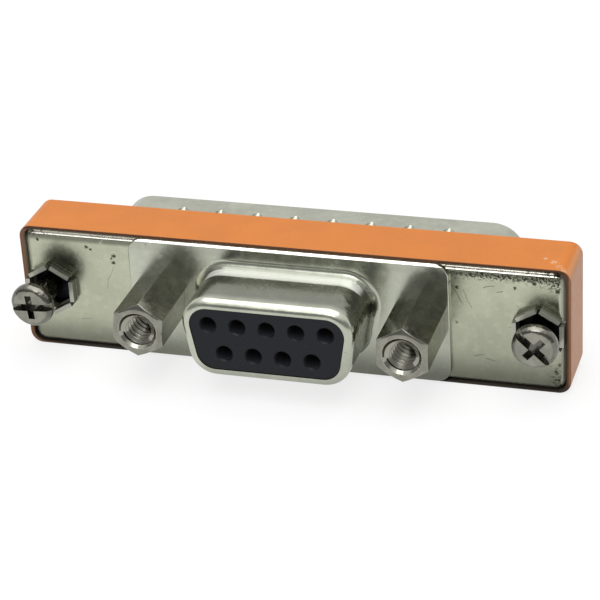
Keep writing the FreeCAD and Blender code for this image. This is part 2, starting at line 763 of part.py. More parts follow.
def make_jack_standoff(name, side, turn):
    """A hex standoff with a bevelled tip, a countersunk bore and a stud behind."""
    body = new_body(name, jack_side * side, -flange_face)
    body.Placement.Rotation = FreeCAD.Rotation(FreeCAD.Vector(0, 1, 0), turn.number)
    bind(body, "Placement.Rotation.Angle", turn)
    hexagon = facing(body, 0)
    draw_hexagon(hexagon, S.jack_flats)
    pad(body, hexagon, S.jack_length)
    stud = facing(body, 0)
    draw_circle(stud, S.thread_radius)
    pad(body, stud, flange_face - board_face - S.stud_air, backward=True)
    outside = S.jack_flats / math.sqrt(3) + CUT_PAST
    bevel = ((S.jack_face, 0), (outside, 0), (outside, (outside - S.jack_face) * tangent(S.jack_bevel)))
    spin(body, bevel, y=-S.jack_length, cut=True)
    bore = (
        (0, 0),
        (S.jack_mouth, 0),
        (S.thread_bore, S.jack_mouth - S.thread_bore),
        (S.thread_bore, S.jack_bore_depth),
        (0, S.jack_bore_depth + S.thread_bore / 2),
    )
    spin(body, bore, y=-S.jack_length, cut=True)
    return body


def make_jack_nut(name, side):
    """The nut behind the front plate, on a standoff's stud."""
    body = new_body(name, jack_side * side, -plate_back)
    sketch = facing(body, 0)
    draw_hexagon(sketch, S.nut_flats)
    draw_circle(sketch, S.thread_radius + S.nut_clearance)
    pad(body, sketch, plate_back - board_face - S.stud_air - S.stud_past_nut, backward=True)
    return body


def lean_body(name, side, lean):
    """A body that stands in a lock screw's rear hole and leans outwards about it."""
    body = new_body(name, lock_side * side, -pivot_depth)
    body.Placement.Rotation = FreeCAD.Rotation(FreeCAD.Vector(0, 0, side), lean.number)
    bind(body, "Placement.Rotation.Angle", lean)
    return body


def seat_distance(short):
    """From the rear hole's middle forward to the underside of a head that is short of fully out."""
    return collar_face - pivot_depth + lock_travel - short


def rim_at(distance, radius):
    """A test for the circle of one radius at a distance forward of its body's own origin."""
    def test(edge):
        curve = edge.Curve
        if curve.TypeId != "Part::GeomCircle":
            return False
        return abs(curve.Radius - radius.number) < SAME and abs(curve.Center.y + distance.number) < SAME

    return test


def recess(body, depth, turn, quarter, width, length, cut_depth):
    """Cut one straight recess across the head."""
    sketch = facing(body, depth)
    angle = turn + quarter
    rotation = FreeCAD.Rotation(FreeCAD.Vector(0, 0, 1), angle.number)
    sketch.AttachmentOffset = FreeCAD.Placement(FreeCAD.Vector(0, 0, 0), rotation)
    bind(sketch, "AttachmentOffset.Rotation.Angle", angle)
    draw_box(sketch, (-length / 2, -width / 2), (length / 2, width / 2))
    pocket(body, sketch, cut_depth)


def make_lock_screw(name, side, short, lean, turn):
    """A lock screw: domed head, slot and cross, neck, washer groove and threaded end."""
    body = lean_body(name, side, lean)
    front = seat_distance(short) + S.head_height
    neck_end = S.head_height + collar_face - plate_back + lock_travel - S.washer_gap
    groove_end = neck_end + S.washer_thickness + S.washer_gap * 2
    tip = S.head_height + collar_face - plug_edge - S.lock_inset
    thread_start = tip - S.lock_thread_length
    profile = (
        (0, 0),
        (head_radius, 0),
        (head_radius, S.head_height),
        (S.lock_neck, S.head_height),
        (S.lock_neck, neck_end),
        (S.lock_groove, neck_end),
        (S.lock_groove, groove_end),
        (S.lock_neck, groove_end),
        (S.lock_neck, thread_start),
        (S.thread_radius, thread_start),
        (S.thread_radius, tip - S.lock_point),
        (S.thread_radius - S.lock_point, tip),
        (0, tip),
    )
    blank = spin(body, profile, y=-front)
    domed = round_edges(body, blank, rim_at(front, head_radius), S.head_dome)
    round_edges(body, domed, rim_at(front - S.head_height, head_radius), S.head_heel)
    slot_length = head_radius * 2 + CUT_PAST
    recess(body, front, turn, 0, S.slot_width, slot_length, S.slot_depth)
    recess(body, front, turn, 0, S.cross_width, S.cross_length, S.cross_depth)
    recess(body, front, turn, 90, S.cross_width, S.cross_length, S.cross_depth)
    return body


def make_captive_washer(name, side, short, lean):
    """The plastic washer that sits in a lock screw's groove, behind the front plate."""
    body = lean_body(name, side, lean)
    neck = collar_face - plate_back + lock_travel
    sketch = facing(body, seat_distance(short) - neck)
    draw_circle(sketch, S.washer_radius)
    draw_circle(sketch, S.lock_groove + S.washer_gap)
    pad(body, sketch, S.washer_thickness, backward=True)
    return body


bodies = [
    make_band(),
    make_front_plate(),
    make_socket_shell(),
    make_socket_insulator_front(),
    make_socket_insulator_back(),
    *make_socket_contacts(),
    make_circuit_board(),
    make_pin_shell(),
    make_pin_insulator_outer(),
    make_pin_insulator_inner(),
    *make_pins(),
    make_jack_standoff("jack_standoff_left", -1, S.jack_turn_left),
    make_jack_standoff("jack_standoff_right", 1, S.jack_turn_right),
    make_jack_nut("jack_nut_left", -1),
    make_jack_nut("jack_nut_right", 1),
    make_lock_screw("lock_screw_left", -1, S.lock_short_left, S.lock_lean_left, S.lock_turn_left),
    make_lock_screw("lock_screw_right", 1, S.lock_short_right, S.lock_lean_right, S.lock_turn_right),
    make_captive_washer("captive_washer_left", -1, S.lock_short_left, S.lock_lean_left),
    make_captive_washer("captive_washer_right", 1, S.lock_short_right, S.lock_lean_right),
]
doc.recompute()

for thing in doc.Objects:
    if {"Invalid", "Error"} & set(thing.State):
        raise RuntimeError(f"{thing.Name} failed: {thing.State}")
for body in bodies:
    if body.Shape.isNull() or not body.Shape.isValid():
        raise RuntimeError(f"{body.Label} has no valid shape")

os.makedirs("parts", exist_ok=True)
for body in bodies:
    body.Shape.exportStep(f"parts/{body.Label}.step")
    print(f"{body.Label}: {body.Shape.Volume:.3f} cubic mm")
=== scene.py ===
import json
import math

import bmesh
import bpy
from bpy.props import FloatProperty, FloatVectorProperty, IntProperty, PointerProperty
from mathutils import Matrix, Vector


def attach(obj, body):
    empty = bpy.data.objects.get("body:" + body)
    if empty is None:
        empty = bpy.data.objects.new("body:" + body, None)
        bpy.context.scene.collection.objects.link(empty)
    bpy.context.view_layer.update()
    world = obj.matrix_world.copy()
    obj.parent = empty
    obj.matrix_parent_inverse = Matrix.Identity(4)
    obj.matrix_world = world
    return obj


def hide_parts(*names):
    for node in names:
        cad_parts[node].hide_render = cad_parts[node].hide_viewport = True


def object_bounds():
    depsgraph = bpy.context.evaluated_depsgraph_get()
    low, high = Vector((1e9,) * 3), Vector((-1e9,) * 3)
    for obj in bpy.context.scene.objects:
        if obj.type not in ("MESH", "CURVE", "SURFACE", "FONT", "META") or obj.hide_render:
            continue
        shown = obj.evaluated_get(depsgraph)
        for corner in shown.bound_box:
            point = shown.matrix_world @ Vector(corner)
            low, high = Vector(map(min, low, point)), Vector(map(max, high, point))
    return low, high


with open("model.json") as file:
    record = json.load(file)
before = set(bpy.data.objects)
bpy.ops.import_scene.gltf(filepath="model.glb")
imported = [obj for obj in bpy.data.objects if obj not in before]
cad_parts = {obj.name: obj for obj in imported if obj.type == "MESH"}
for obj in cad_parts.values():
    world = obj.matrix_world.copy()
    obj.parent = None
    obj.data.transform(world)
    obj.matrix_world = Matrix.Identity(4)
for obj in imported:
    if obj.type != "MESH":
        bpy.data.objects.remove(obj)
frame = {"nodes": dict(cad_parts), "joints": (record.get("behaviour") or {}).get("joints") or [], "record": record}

bl_info = {
    "name": "D-sub adapter",
    "version": (1, 0, 0),
    "blender": (4, 5, 0),
    "location": "3D View > Sidebar > Adapter",
    "description": "Finishes, threads and studio for a short D-sub adapter",
    "category": "Object",
}

CAD_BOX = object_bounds()
RECORD = frame["record"]
MM = 0.001
SIDES = ("left", "right")
UP = Vector((0, 0, 1))
CONTACTS = [name for name in frame["nodes"] if name.startswith("socket_contact")]
PINS = [name for name in frame["nodes"] if name.startswith("pin_") and name[4:].isdigit()]

# Faces of the front, in millimetres on the part's Y or Z axis
PLATE_FACE = -2.9
PLATE_EDGE = 11.76
FLANGE_FACE = -3.35
FLANGE_EDGE = 12.06
BAND_TOP = CAD_BOX[1][2] / MM
BAND_MIDDLE = BAND_TOP / 2

# Fades: an axis, where a mark is absent and full in millimetres, and its strengths if not 0 and 1
BAND_RIM = ("Y", -2.87, -2.92)
PLATE_ROLL = ("Z", 11.72, 12.06)
PLATE_LEFT_END = ("X", -25.2, -25.5)
PLATE_RIGHT_END = ("X", 25.35, 25.6)
PLATE_BOTTOM = ("Z", 0.75, 0.55)
COLLAR_RISE = ("Y", -2.93, -2.97)
COLLAR_FOOT = ("Y", -3.5, -3.0)
COLLAR_RIM = ("Y", -3.75, -3.79)
FLANGE_ROLL = ("Z", 12.04, 12.33)
FLANGE_SHEET = ("Y", -3.5, -3.4)
TUBE_START = ("Y", -3.45, -3.60)
TUBE_END = ("Y", -9.50, -8.3)
TUBE_HAMMERED = ("X", 5.2, 7.6)
ROOT_START = ("Y", -3.75, -3.95)
ROOT_END = ("Y", -5.2, -4.85)
INSULATOR_INSIDE = ("Y", -9.76, -9.70)
INSULATOR_FACE = ("Y", -9.70, -9.76)

# Outer and inner radius of fades round an axis or a point, in millimetres
COLLAR_OUTSIDE = (2.9, 2.75)
COLLAR_OPENING = (2.35, 2.2)
HOLE_RING = (0.89, 0.83)
STANDOFF_BORE = (1.95, 1.85)
HEAD_ALL = (2.6, 2.5)
HEAD_FACE = (1.80, 1.62)
HEAD_RECESS = (1.75, 1.6)
RECESS_DEPTH = (0.10, 0.22)  # below the head's front

# Marks: places and sizes in millimetres, strengths from 0 to 1, slopes in degrees from level
# Painted dark reflections of the collars and standoffs on the front faces
DARK_REFLECTIONS = (  # x, z, radius, strength
    (-22.6, 9.6, 2.2, 0.65), (-21.6, 8.9, 1.8, 0.55), (22.9, 9.6, 1.6, 0.12), (20.6, 8.2, 1.5, 0.1),
    (-10.2, 11.4, 2.2, 0.4),
)
SPECKS = (  # x, z, radius
    (-19.7, 10.8, 0.24), (-19.3, 10.6, 0.16), (-17.0, 10.1, 0.26), (-17.1, 9.4, 0.22), (-17.3, 9.8, 0.14),
    (16.0, 10.0, 0.20), (15.9, 6.4, 0.14), (25.4, 2.9, 0.22), (25.6, 1.7, 0.26), (25.0, 2.2, 0.16),
    (24.3, 3.4, 0.14), (21.3, 10.4, 0.20), (23.1, 11.0, 0.24), (25.2, 10.4, 0.26), (-24.6, 11.2, 0.2),
)
SCRATCHES = (  # x, z, length, slope, strength
    (-17.6, 7.8, 3.2, 68, 0.35), (15.9, 9.6, 3.0, -62, 0.6), (16.9, 8.9, 2.2, -70, 0.4),
    (18.9, 10.3, 1.3, 18, 0.8), (20.0, 9.9, 0.8, 12, 0.7), (17.9, 3.2, 1.2, 10, 0.6),
    (19.0, 2.8, 0.9, -8, 0.5), (21.0, 6.4, 0.8, 20, 0.4), (-20.4, 3.1, 1.2, 5, 0.35),
)
SCUFFS = (  # on the band's top: x, y, radius
    (24.6, -1.4, 0.5), (25.2, -2.2, 0.45), (25.7, -2.6, 0.5), (23.7, -0.8, 0.3),
)

# Where black grit gathers on the front: the fades of each patch
CROWDS = (
    (("X", 12.5, 18), ("Z", 10.5, 11.4), ("Z", 11.85, 11.65)),
    (("X", 22.0, 25.0), ("Z", 9.4, 11.2)),
    (("X", 23.5, 25.5), ("Z", 1.0, 4.5, 1, 0)),
    (("X", -21, -25, 0, 0.7), ("Z", 10.8, 11.9)),
)

# Painted shade on the band's front rim, and painted light and shade on its inner walls: a colour, then its fades
RIM_PAINTED_SHADE = (
    ((0.10, 0.045, 0.024),),
    ((0.30, 0.155, 0.085), ("X", 20, -20, 0.25, 1.0)),
    ((0.46, 0.21, 0.11), ("X", 26.12, 26.26)),
    ((0.05, 0.038, 0.030), ("Z", 1.2, 0.3), ("X", -25.5, -22)),
    ((0.10, 0.04, 0.015), ("Z", 12.1, 12.35)),
)
WALL_PAINTED_LIGHT_AND_SHADE = (
    ((0.42, 0.38, 0.30), ("Z", 1.0, 3.0)),
    ((0.06, 0.05, 0.04), ("Z", 3.0, 1.0)),
    ((0.012, 0.010, 0.009), ("Y", -2.0, -1.7)),
)

# Colours of dirt and wear, and of painted highlights, reflections and shade
# Painted highlights and painted light: the next four
EDGE_HIGHLIGHT = (0.92, 0.90, 0.82)
ROOT_HIGHLIGHT = (0.80, 0.81, 0.76)
ROLLED_EDGE_LIGHT = (0.46, 0.46, 0.38)
COLLAR_RIM_HIGHLIGHT = (0.56, 0.56, 0.48)
# Dirt and wear
PIT = SCRATCH = (0.03, 0.028, 0.02)
GRIT = (0.015, 0.013, 0.009)
# Painted dark reflection
REFLECTION_DARK = (0.04, 0.037, 0.028)
# Dirt and wear
SPECK = (0.022, 0.020, 0.014)
SPOT = (0.06, 0.05, 0.035)
DUST = (0.16, 0.16, 0.16)
# Painted shade: the next three
INSIDE_SHADE = (0.035, 0.038, 0.045)
MOUTH_SHADE = (0.008, 0.009, 0.011)
RECESS_SHADE = (0.13, 0.125, 0.11)
# Dirt and wear of the band
ORANGE_GRAIN = (0.9, 0.6, 0.35)
ORANGE_SPOT = (0.25, 0.08, 0.03)
ORANGE_SCUFF = (0.80, 0.62, 0.42)
# Painted sheen of the band
ORANGE_END_SHEEN = (0.86, 0.45, 0.22)

# Fine shapes of the built pieces
FLANK = 0.46  # half a thread's root, as a share of its pitch
CREST = 0.06  # half a thread's crest, as a share of its pitch
OVERLAP = 0.1  # how far a thread's ridge sinks into its wall, as a share of its depth
DRILL_TIP = 0.6  # depth of a bore's pointed end, as a share of its radius
THREAD_SEGMENTS = 48
HEAD_CROWN = 0.02 * MM
SMOOTH_ANGLE = math.radians(32)
BEVEL_ANGLE = math.radians(38)

# Studio: a softbox's place and width and the table's half width are in metres
KEY_BOX = ((0, 0.02, 0.45), 0.5)
FILL_BOX = ((0, -0.32, 0.38), 0.25)
TABLE_REACH = 3.0
TABLE_PAPER = (0.25, 0.25, 0.25)
TABLE_LIFT = 0.775

# Where the room's dim front ends, as parts of a direction of length 1
ROOM_FRONT = (-0.25, 0.25)
ROOM_LOW = (0.42, 0.70)


def mount(name):
    """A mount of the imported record, by name."""
    return next(entry for entry in RECORD["mounts"] if entry["name"] == name)


def joint(name):
    """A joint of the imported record, by name."""
    return next(entry for entry in frame["joints"] if entry["name"] == name)


def spot(entry):
    """The X and Z of a mount or a joint, in millimetres."""
    return entry["pos_m"][0] / MM, entry["pos_m"][2] / MM


# Sizes and colours that a user would change


class AdapterColours(bpy.types.PropertyGroup):
    """Base colours of the finishes."""

    band: FloatVectorProperty(
        name="Band", description="Orange of the plastic band", subtype="COLOR",
        size=3, min=0, max=1, default=(0.69, 0.205, 0.022))
    plate: FloatVectorProperty(
        name="Front plate", description="Its plated steel", subtype="COLOR",
        size=3, min=0, max=1, default=(0.48, 0.50, 0.378))
    shell: FloatVectorProperty(
        name="Shells", description="Plated steel of the shells and the rear plate", subtype="COLOR",
        size=3, min=0, max=1, default=(0.50, 0.52, 0.43))
    nickel: FloatVectorProperty(
        name="Nickel", description="Plating of the standoffs and screws", subtype="COLOR",
        size=3, min=0, max=1, default=(0.30, 0.295, 0.25))
    insulator: FloatVectorProperty(
        name="Insulators", description="Blue-black moulded plastic", subtype="COLOR",
        size=3, min=0, max=1, default=(0.012, 0.014, 0.019))
    contact: FloatVectorProperty(
        name="Contacts", description="Gold flash of the contacts and pins", subtype="COLOR",
        size=3, min=0, max=1, default=(0.83, 0.58, 0.24))
    board: FloatVectorProperty(
        name="Board", description="Green solder resist of the circuit board", subtype="COLOR",
        size=3, min=0, max=1, default=(0.03, 0.16, 0.06))
    washer: FloatVectorProperty(
        name="Washers", description="Blue-black nylon of the captive washers", subtype="COLOR",
        size=3, min=0, max=1, default=(0.05, 0.055, 0.08))


class AdapterFasteners(bpy.types.PropertyGroup):
    """Sizes of the threads, standoffs and lock screws, in metres."""

    thread_pitch: FloatProperty(
        name="Thread pitch", description="Lead of the threads", unit="LENGTH", precision=6,
        default=0.635 * MM, min=0.2 * MM)
    thread_depth: FloatProperty(
        name="Thread depth", description="Crest to root of the threads", unit="LENGTH", precision=6,
        default=0.25 * MM, min=0.05 * MM)
    tap_depth: FloatProperty(
        name="Tapped depth", description="Crest to root of a standoff's inner thread", unit="LENGTH",
        precision=6, default=0.38 * MM, min=0.05 * MM)
    hex_flats: FloatProperty(
        name="Standoff flats", description="Across flats of a standoff", unit="LENGTH", precision=6,
        default=4.75 * MM, min=MM)
    hex_length: FloatProperty(
        name="Standoff length", description="Hex length of a standoff", unit="LENGTH", precision=6,
        default=6.52 * MM, min=MM)
    hex_face: FloatProperty(
        name="Standoff face", description="Radius of the flat face at a standoff's tip", unit="LENGTH",
        precision=6, default=2.22 * MM, min=MM)
    hex_bevel: FloatProperty(
        name="Corner bevel", description="Angle of the bevel across a standoff's corners", subtype="ANGLE",
        default=math.radians(30))
    hex_turn_left: FloatProperty(
        name="Left turn", description="How far the left standoff is turned", subtype="ANGLE",
        default=math.radians(5))
    hex_turn_right: FloatProperty(
        name="Right turn", description="How far the right standoff is turned", subtype="ANGLE",
        default=math.radians(1))
    mouth_radius: FloatProperty(
        name="Mouth radius", description="Countersunk mouth of a standoff", unit="LENGTH", precision=6,
        default=1.84 * MM, min=MM)
    head_height: FloatProperty(
        name="Head height", description="Height of a lock screw's head", unit="LENGTH", precision=6,
        default=1.15 * MM, min=0.2 * MM)
    head_dome: FloatProperty(
        name="Head rounding", description="Rounding of the head's front edge", unit="LENGTH", precision=6,
        default=0.62 * MM, min=0.05 * MM)
    head_heel: FloatProperty(
        name="Heel rounding", description="Rounding of the head's rear edge", unit="LENGTH", precision=6,
        default=0.22 * MM, min=0.05 * MM)
    shank_radius: FloatProperty(
        name="Shank radius", description="Plain shank of a lock screw", unit="LENGTH", precision=6,
        default=1.10 * MM, min=0.2 * MM)
    groove_radius: FloatProperty(
        name="Groove radius", description="Bottom of the washer's groove", unit="LENGTH", precision=6,
        default=0.90 * MM, min=0.2 * MM)
    groove_start: FloatProperty(
        name="Groove start", description="Head's front to the washer's groove", unit="LENGTH", precision=6,
        default=5.90 * MM, min=MM)
    groove_length: FloatProperty(
        name="Groove length", description="Length of the washer's groove", unit="LENGTH", precision=6,
        default=0.90 * MM, min=0.1 * MM)
    point: FloatProperty(
        name="Point", description="Chamfer at the threaded end", unit="LENGTH", precision=6,
        default=0.40 * MM, min=0.05 * MM)
    slot_width: FloatProperty(
        name="Slot width", description="Width of the full slot", unit="LENGTH", precision=6,
        default=0.72 * MM, min=0.1 * MM)
    slot_depth: FloatProperty(
        name="Slot depth", description="Depth of the full slot", unit="LENGTH", precision=6,
        default=0.55 * MM, min=0.1 * MM)
    cross_width: FloatProperty(
        name="Cross width", description="Width of the cross recess", unit="LENGTH", precision=6,
        default=0.66 * MM, min=0.1 * MM)
    cross_length: FloatProperty(
        name="Cross length", description="Length of the cross recess", unit="LENGTH", precision=6,
        default=2.40 * MM, min=0.1 * MM)
    cross_depth: FloatProperty(
        name="Cross depth", description="Depth of the cross recess", unit="LENGTH", precision=6,
        default=0.85 * MM, min=0.1 * MM)
    slot_turn_left: FloatProperty(
        name="Left slot", description="Angle of the left screw's slot", subtype="ANGLE",
        default=math.radians(5))
    slot_turn_right: FloatProperty(
        name="Right slot", description="Angle of the right screw's slot", subtype="ANGLE",
        default=math.radians(137))
    segments: IntProperty(
        name="Segments", description="Facets round a turned surface", default=96, min=24, max=160)
    edge: FloatProperty(
        name="Edge rounding", description="Rounding of machined edges", unit="LENGTH", precision=6,
        default=0.10 * MM, min=0)


class AdapterStage(bpy.types.PropertyGroup):
    """Camera and studio."""

    azimuth: FloatProperty(
        name="Azimuth", description="Camera to the right of the front", subtype="ANGLE",
        default=math.radians(18.069))
    elevation: FloatProperty(
        name="Elevation", description="Camera above the table", subtype="ANGLE",
        default=math.radians(28.071))
    roll: FloatProperty(
        name="Roll", description="Roll of the camera", subtype="ANGLE", default=math.radians(-3.530))
    distance: FloatProperty(
        name="Distance", description="Camera to the point it aims at", unit="LENGTH", default=217.0 * MM)
    aim: FloatVectorProperty(
        name="Aim", description="Point in the middle of the picture", subtype="TRANSLATION", size=3,
        default=(0.836 * MM, -2.101 * MM, 6.763 * MM))
    lens: FloatProperty(
        name="Lens", description="Focal length in millimetres on a 36 mm sensor", default=140.37)
    key: FloatProperty(
        name="Key light", description="Brightness of the overhead softbox; 1 is white", default=1.95)
    fill: FloatProperty(
        name="Fill light", description="Brightness of the front softbox; 1 is white", default=2.9)
    sky: FloatProperty(
        name="Sky", description="Strength of the world's light on the part", default=0.35)
    front: FloatProperty(
        name="Front", description="How bright the room's front looks in reflections", default=0.3)


# Shader nodes


class Nodes:
    """A node tree under construction: nodes are added by name and linked as they are made."""

    def __init__(self, owner):
        owner.use_nodes = True
        self.tree = owner.node_tree
        self.tree.nodes.clear()

    def add(self, kind, **settings):
        node = self.tree.nodes.new(kind)
        for key, value in settings.items():
            setattr(node, key, value)
        return node

    def feed(self, node, **values):
        """Set or link inputs; an underscore stands for a space, and before a number for a place."""
        for key, value in values.items():
            socket = node.inputs[int(key[1:])] if key[0] == "_" else node.inputs[key.replace("_", " ")]
            if isinstance(value, bpy.types.NodeSocket):
                self.tree.links.new(value, socket)
            else:
                socket.default_value = value
        return node

    def ramp(self, value, low, high, start=0.0, end=1.0):
        """Map a value from low..high to start..end, smoothly and clamped."""
        node = self.add("ShaderNodeMapRange", interpolation_type="SMOOTHSTEP")
        self.feed(node, Value=value, From_Min=low, From_Max=high, To_Min=start, To_Max=end)
        return node.outputs["Result"]

    def compute(self, operation, first, second=0.0):
        node = self.add("ShaderNodeMath", operation=operation)
        self.feed(node, _0=first, _1=second)
        return node.outputs[0]

    def parts(self, vector):
        """The X, Y and Z of a vector."""
        return self.feed(self.add("ShaderNodeSeparateXYZ"), Vector=vector).outputs

    def showing(self):
        """1 for rays that show a surface: camera, glossy and transmission rays."""
        path = self.add("ShaderNodeLightPath").outputs
        shown = self.compute("MAXIMUM", path["Is Camera Ray"], path["Is Glossy Ray"])
        return self.compute("MAXIMUM", shown, path["Is Transmission Ray"])


class Finish(Nodes):
    """A material of one principled surface whose patterns read object coordinates."""

    def __init__(self, name, colour, metallic=0.0, roughness=0.5):
        self.material = bpy.data.materials.new(name)
        self.material.diffuse_color = (*colour, 1)
        super().__init__(self.material)
        output = self.add("ShaderNodeOutputMaterial")
        self.surface = self.add("ShaderNodeBsdfPrincipled")
        self.surface.inputs["Base Color"].default_value = (*colour, 1)
        self.surface.inputs["Metallic"].default_value = metallic
        self.surface.inputs["Roughness"].default_value = roughness
        self.tree.links.new(self.surface.outputs["BSDF"], output.inputs["Surface"])
        self.place = self.add("ShaderNodeTexCoord").outputs["Object"]

    def stretched(self, scale, turn=(0, 0, 0)):
        """Object coordinates, scaled and turned."""
        node = self.add("ShaderNodeMapping")
        self.feed(node, Vector=self.place, Rotation=turn, Scale=scale)
        return node.outputs["Vector"]

    def noise(self, size, detail=2.0, rough=0.5, place=None):
        """Noise whose features are about one size across, in metres."""
        node = self.add("ShaderNodeTexNoise")
        self.feed(node, Vector=place or self.place, Scale=1 / size, Detail=detail, Roughness=rough)
        return node.outputs["Fac"]

    def cells(self, size):
        """Distance to the nearest of scattered points, in cells of one size."""
        node = self.add("ShaderNodeTexVoronoi")
        self.feed(node, Vector=self.place, Scale=1 / size)
        return node.outputs["Distance"]

    def layer(self, mask, colour, blend="MIX"):
        """Lay a colour over the surface where a mask is 1."""
        node = self.add("ShaderNodeMix", data_type="RGBA", blend_type=blend)
        below = self.surface.inputs["Base Color"]
        under = below.links[0].from_socket if below.is_linked else below.default_value
        self.feed(node, _0=mask, _6=under, _7=(*colour, 1))
        self.feed(self.surface, Base_Color=node.outputs[2])

    def darken(self, mask, amount):
        """Multiply the colour by an amount where a mask is 1."""
        self.layer(mask, (amount, amount, amount), "MULTIPLY")

    def along(self, axis, low, high, start=0.0, end=1.0):
        """Fade along one axis of the part, between two places in millimetres."""
        return self.ramp(self.parts(self.place)[axis], low * MM, high * MM, start, end)

    def both(self, first, *others):
        """Where every mask is 1."""
        for other in others:
            first = self.compute("MULTIPLY", first, other)
        return first

    def either(self, first, *others):
        """Where any mask is 1."""
        for other in others:
            first = self.compute("MAXIMUM", first, other)
        return first

    def within(self, *fades):
        """Where every fade along an axis is full."""
        return self.both(*(self.along(*fade) for fade in fades))

    def near(self, centre, radius, core=0.0, ragged=0.0, size=0.25):
        """1 close to a point in millimetres, falling to 0 at a radius; ragged makes its outline uneven."""
        node = self.add("ShaderNodeVectorMath", operation="DISTANCE")
        self.feed(node, _0=self.place, _1=Vector(centre) * MM)
        away = node.outputs["Value"]
        if ragged:
            wobble = self.compute("SUBTRACT", self.noise(size * MM, detail=3, rough=0.6), 0.5)
            away = self.compute("ADD", away, self.compute("MULTIPLY", wobble, ragged * MM))
        return self.ramp(away, core * MM, radius * MM, 1.0, 0.0)

    def round_axis(self, x, z, radius, core):
        """1 close to a line along Y, falling to 0 at a radius, in millimetres."""
        flat = self.add("ShaderNodeVectorMath", operation="MULTIPLY")
        self.feed(flat, _0=self.place, _1=(1, 0, 1))
        node = self.add("ShaderNodeVectorMath", operation="DISTANCE")
        self.feed(node, _0=flat.outputs[0], _1=(x * MM, 0, z * MM))
        return self.ramp(node.outputs["Value"], core * MM, radius * MM, 1.0, 0.0)

    def facing(self, axis):
        """One part of the way a face looks, from -1 to 1."""
        return self.parts(self.add("ShaderNodeTexCoord").outputs["Normal"])[axis]

    def inward(self, height):
        """1 on faces that look towards the part's middle line, at a height in millimetres."""
        place = self.parts(self.place)
        across = self.compute("MULTIPLY", place["X"], self.facing("X"))
        above = self.compute("SUBTRACT", place["Z"], height * MM)
        upward = self.compute("MULTIPLY", above, self.facing("Z"))
        return self.ramp(self.compute("ADD", across, upward), -1.0 * MM, -0.2 * MM, 1.0, 0.0)

    def below(self, point, axis, start, end):
        """Fade with the depth below a plane, between two depths in millimetres."""
        shifted = self.feed(self.add("ShaderNodeVectorMath", operation="SUBTRACT"), _0=self.place, _1=point)
        depth = self.add("ShaderNodeVectorMath", operation="DOT_PRODUCT")
        self.feed(depth, _0=shifted.outputs[0], _1=axis)
        return self.ramp(depth.outputs["Value"], -start * MM, -end * MM)

    def scratch(self, centre, length, slope, width=0.05):
        """1 along a short wavy line on a front face; the slope is in degrees from level."""
        place = self.parts(self.place)
        angle = math.radians(slope)
        across = self.compute("SUBTRACT", self.compute("MULTIPLY", place["Z"], math.cos(angle)),
                              self.compute("MULTIPLY", place["X"], math.sin(angle)))
        line = (centre[2] * math.cos(angle) - centre[0] * math.sin(angle)) * MM
        sway = self.compute("SUBTRACT", self.noise(1.1 * MM, detail=2), 0.5)
        wave = self.compute("MULTIPLY", sway, 0.5 * MM)
        offset = self.compute("ABSOLUTE", self.compute("ADD", self.compute("SUBTRACT", across, line), wave))
        return self.both(self.ramp(offset, width * 0.4 * MM, width * MM, 1.0, 0.0),
                         self.near(centre, length / 2, length * 0.35, ragged=0.6))

    def tarnish(self, mask):
        """Make the metal less metallic where a mask is 1."""
        self.feed(self.surface, Metallic=self.ramp(mask, 0, 1, 1.0, 0.35))

    def dull(self, roughness):
        """Set the roughness from a pattern."""
        self.feed(self.surface, Roughness=roughness)

    def bump(self, height, depth, strength=1.0):
        """Raise the surface by a height of 0 to 1, times a depth in metres."""
        node = self.add("ShaderNodeBump")
        self.feed(node, Height=height, Distance=depth, Strength=strength)
        if self.surface.inputs["Normal"].is_linked:
            self.feed(node, Normal=self.surface.inputs["Normal"].links[0].from_socket)
        self.feed(self.surface, Normal=node.outputs["Normal"])


def shade(colour, amount):
    """A colour made lighter or darker."""
    return tuple(min(1.0, part * amount) for part in colour)


def tint(colour, other, amount):
    """A colour moved towards another one."""
    return tuple(a + (b - a) * amount for a, b in zip(colour, other))


def steel(name, colour, roughness=0.24, specks=1.0):
    """Satin plated sheet steel: clouded plating, fine grain, pits and hairline scratches."""
    finish = Finish(name, colour, metallic=1.0, roughness=roughness)
    cloud = finish.noise(5.0 * MM, detail=4, rough=0.6)
    patch = finish.noise(0.9 * MM, detail=3, rough=0.6)
    grain = finish.noise(0.12 * MM, detail=2)
    finish.darken(finish.ramp(cloud, 0.35, 0.65, 1, 0), 0.86)
    finish.layer(finish.ramp(patch, 0.45, 0.75, 0, 0.35), shade(colour, 1.25))
    pits = finish.ramp(finish.cells(1.3 * MM), 0.05, 0.11, 1, 0)
    gate = finish.ramp(finish.noise(2.6 * MM, detail=1), 0.56, 0.60)
    pit = finish.both(pits, gate, 0.8 * specks)
    finish.layer(pit, PIT)
    lines = finish.noise(0.16 * MM, detail=1, place=finish.stretched((0.035, 1, 1), turn=(0, 0.9, 0)))
    finish.darken(finish.ramp(lines, 0.70, 0.76, 0, 0.5), 0.75)
    finish.dull(finish.compute("ADD", finish.ramp(cloud, 0.3, 0.7, roughness - 0.05, roughness + 0.07),
                               finish.ramp(patch, 0.5, 0.8, 0.0, 0.06)))
    finish.bump(finish.noise(1.6 * MM, detail=2), 0.02 * MM, 0.5)
    finish.bump(grain, 0.004 * MM, 0.4)
    finish.bump(pit, -0.03 * MM, 0.6)
    return finish


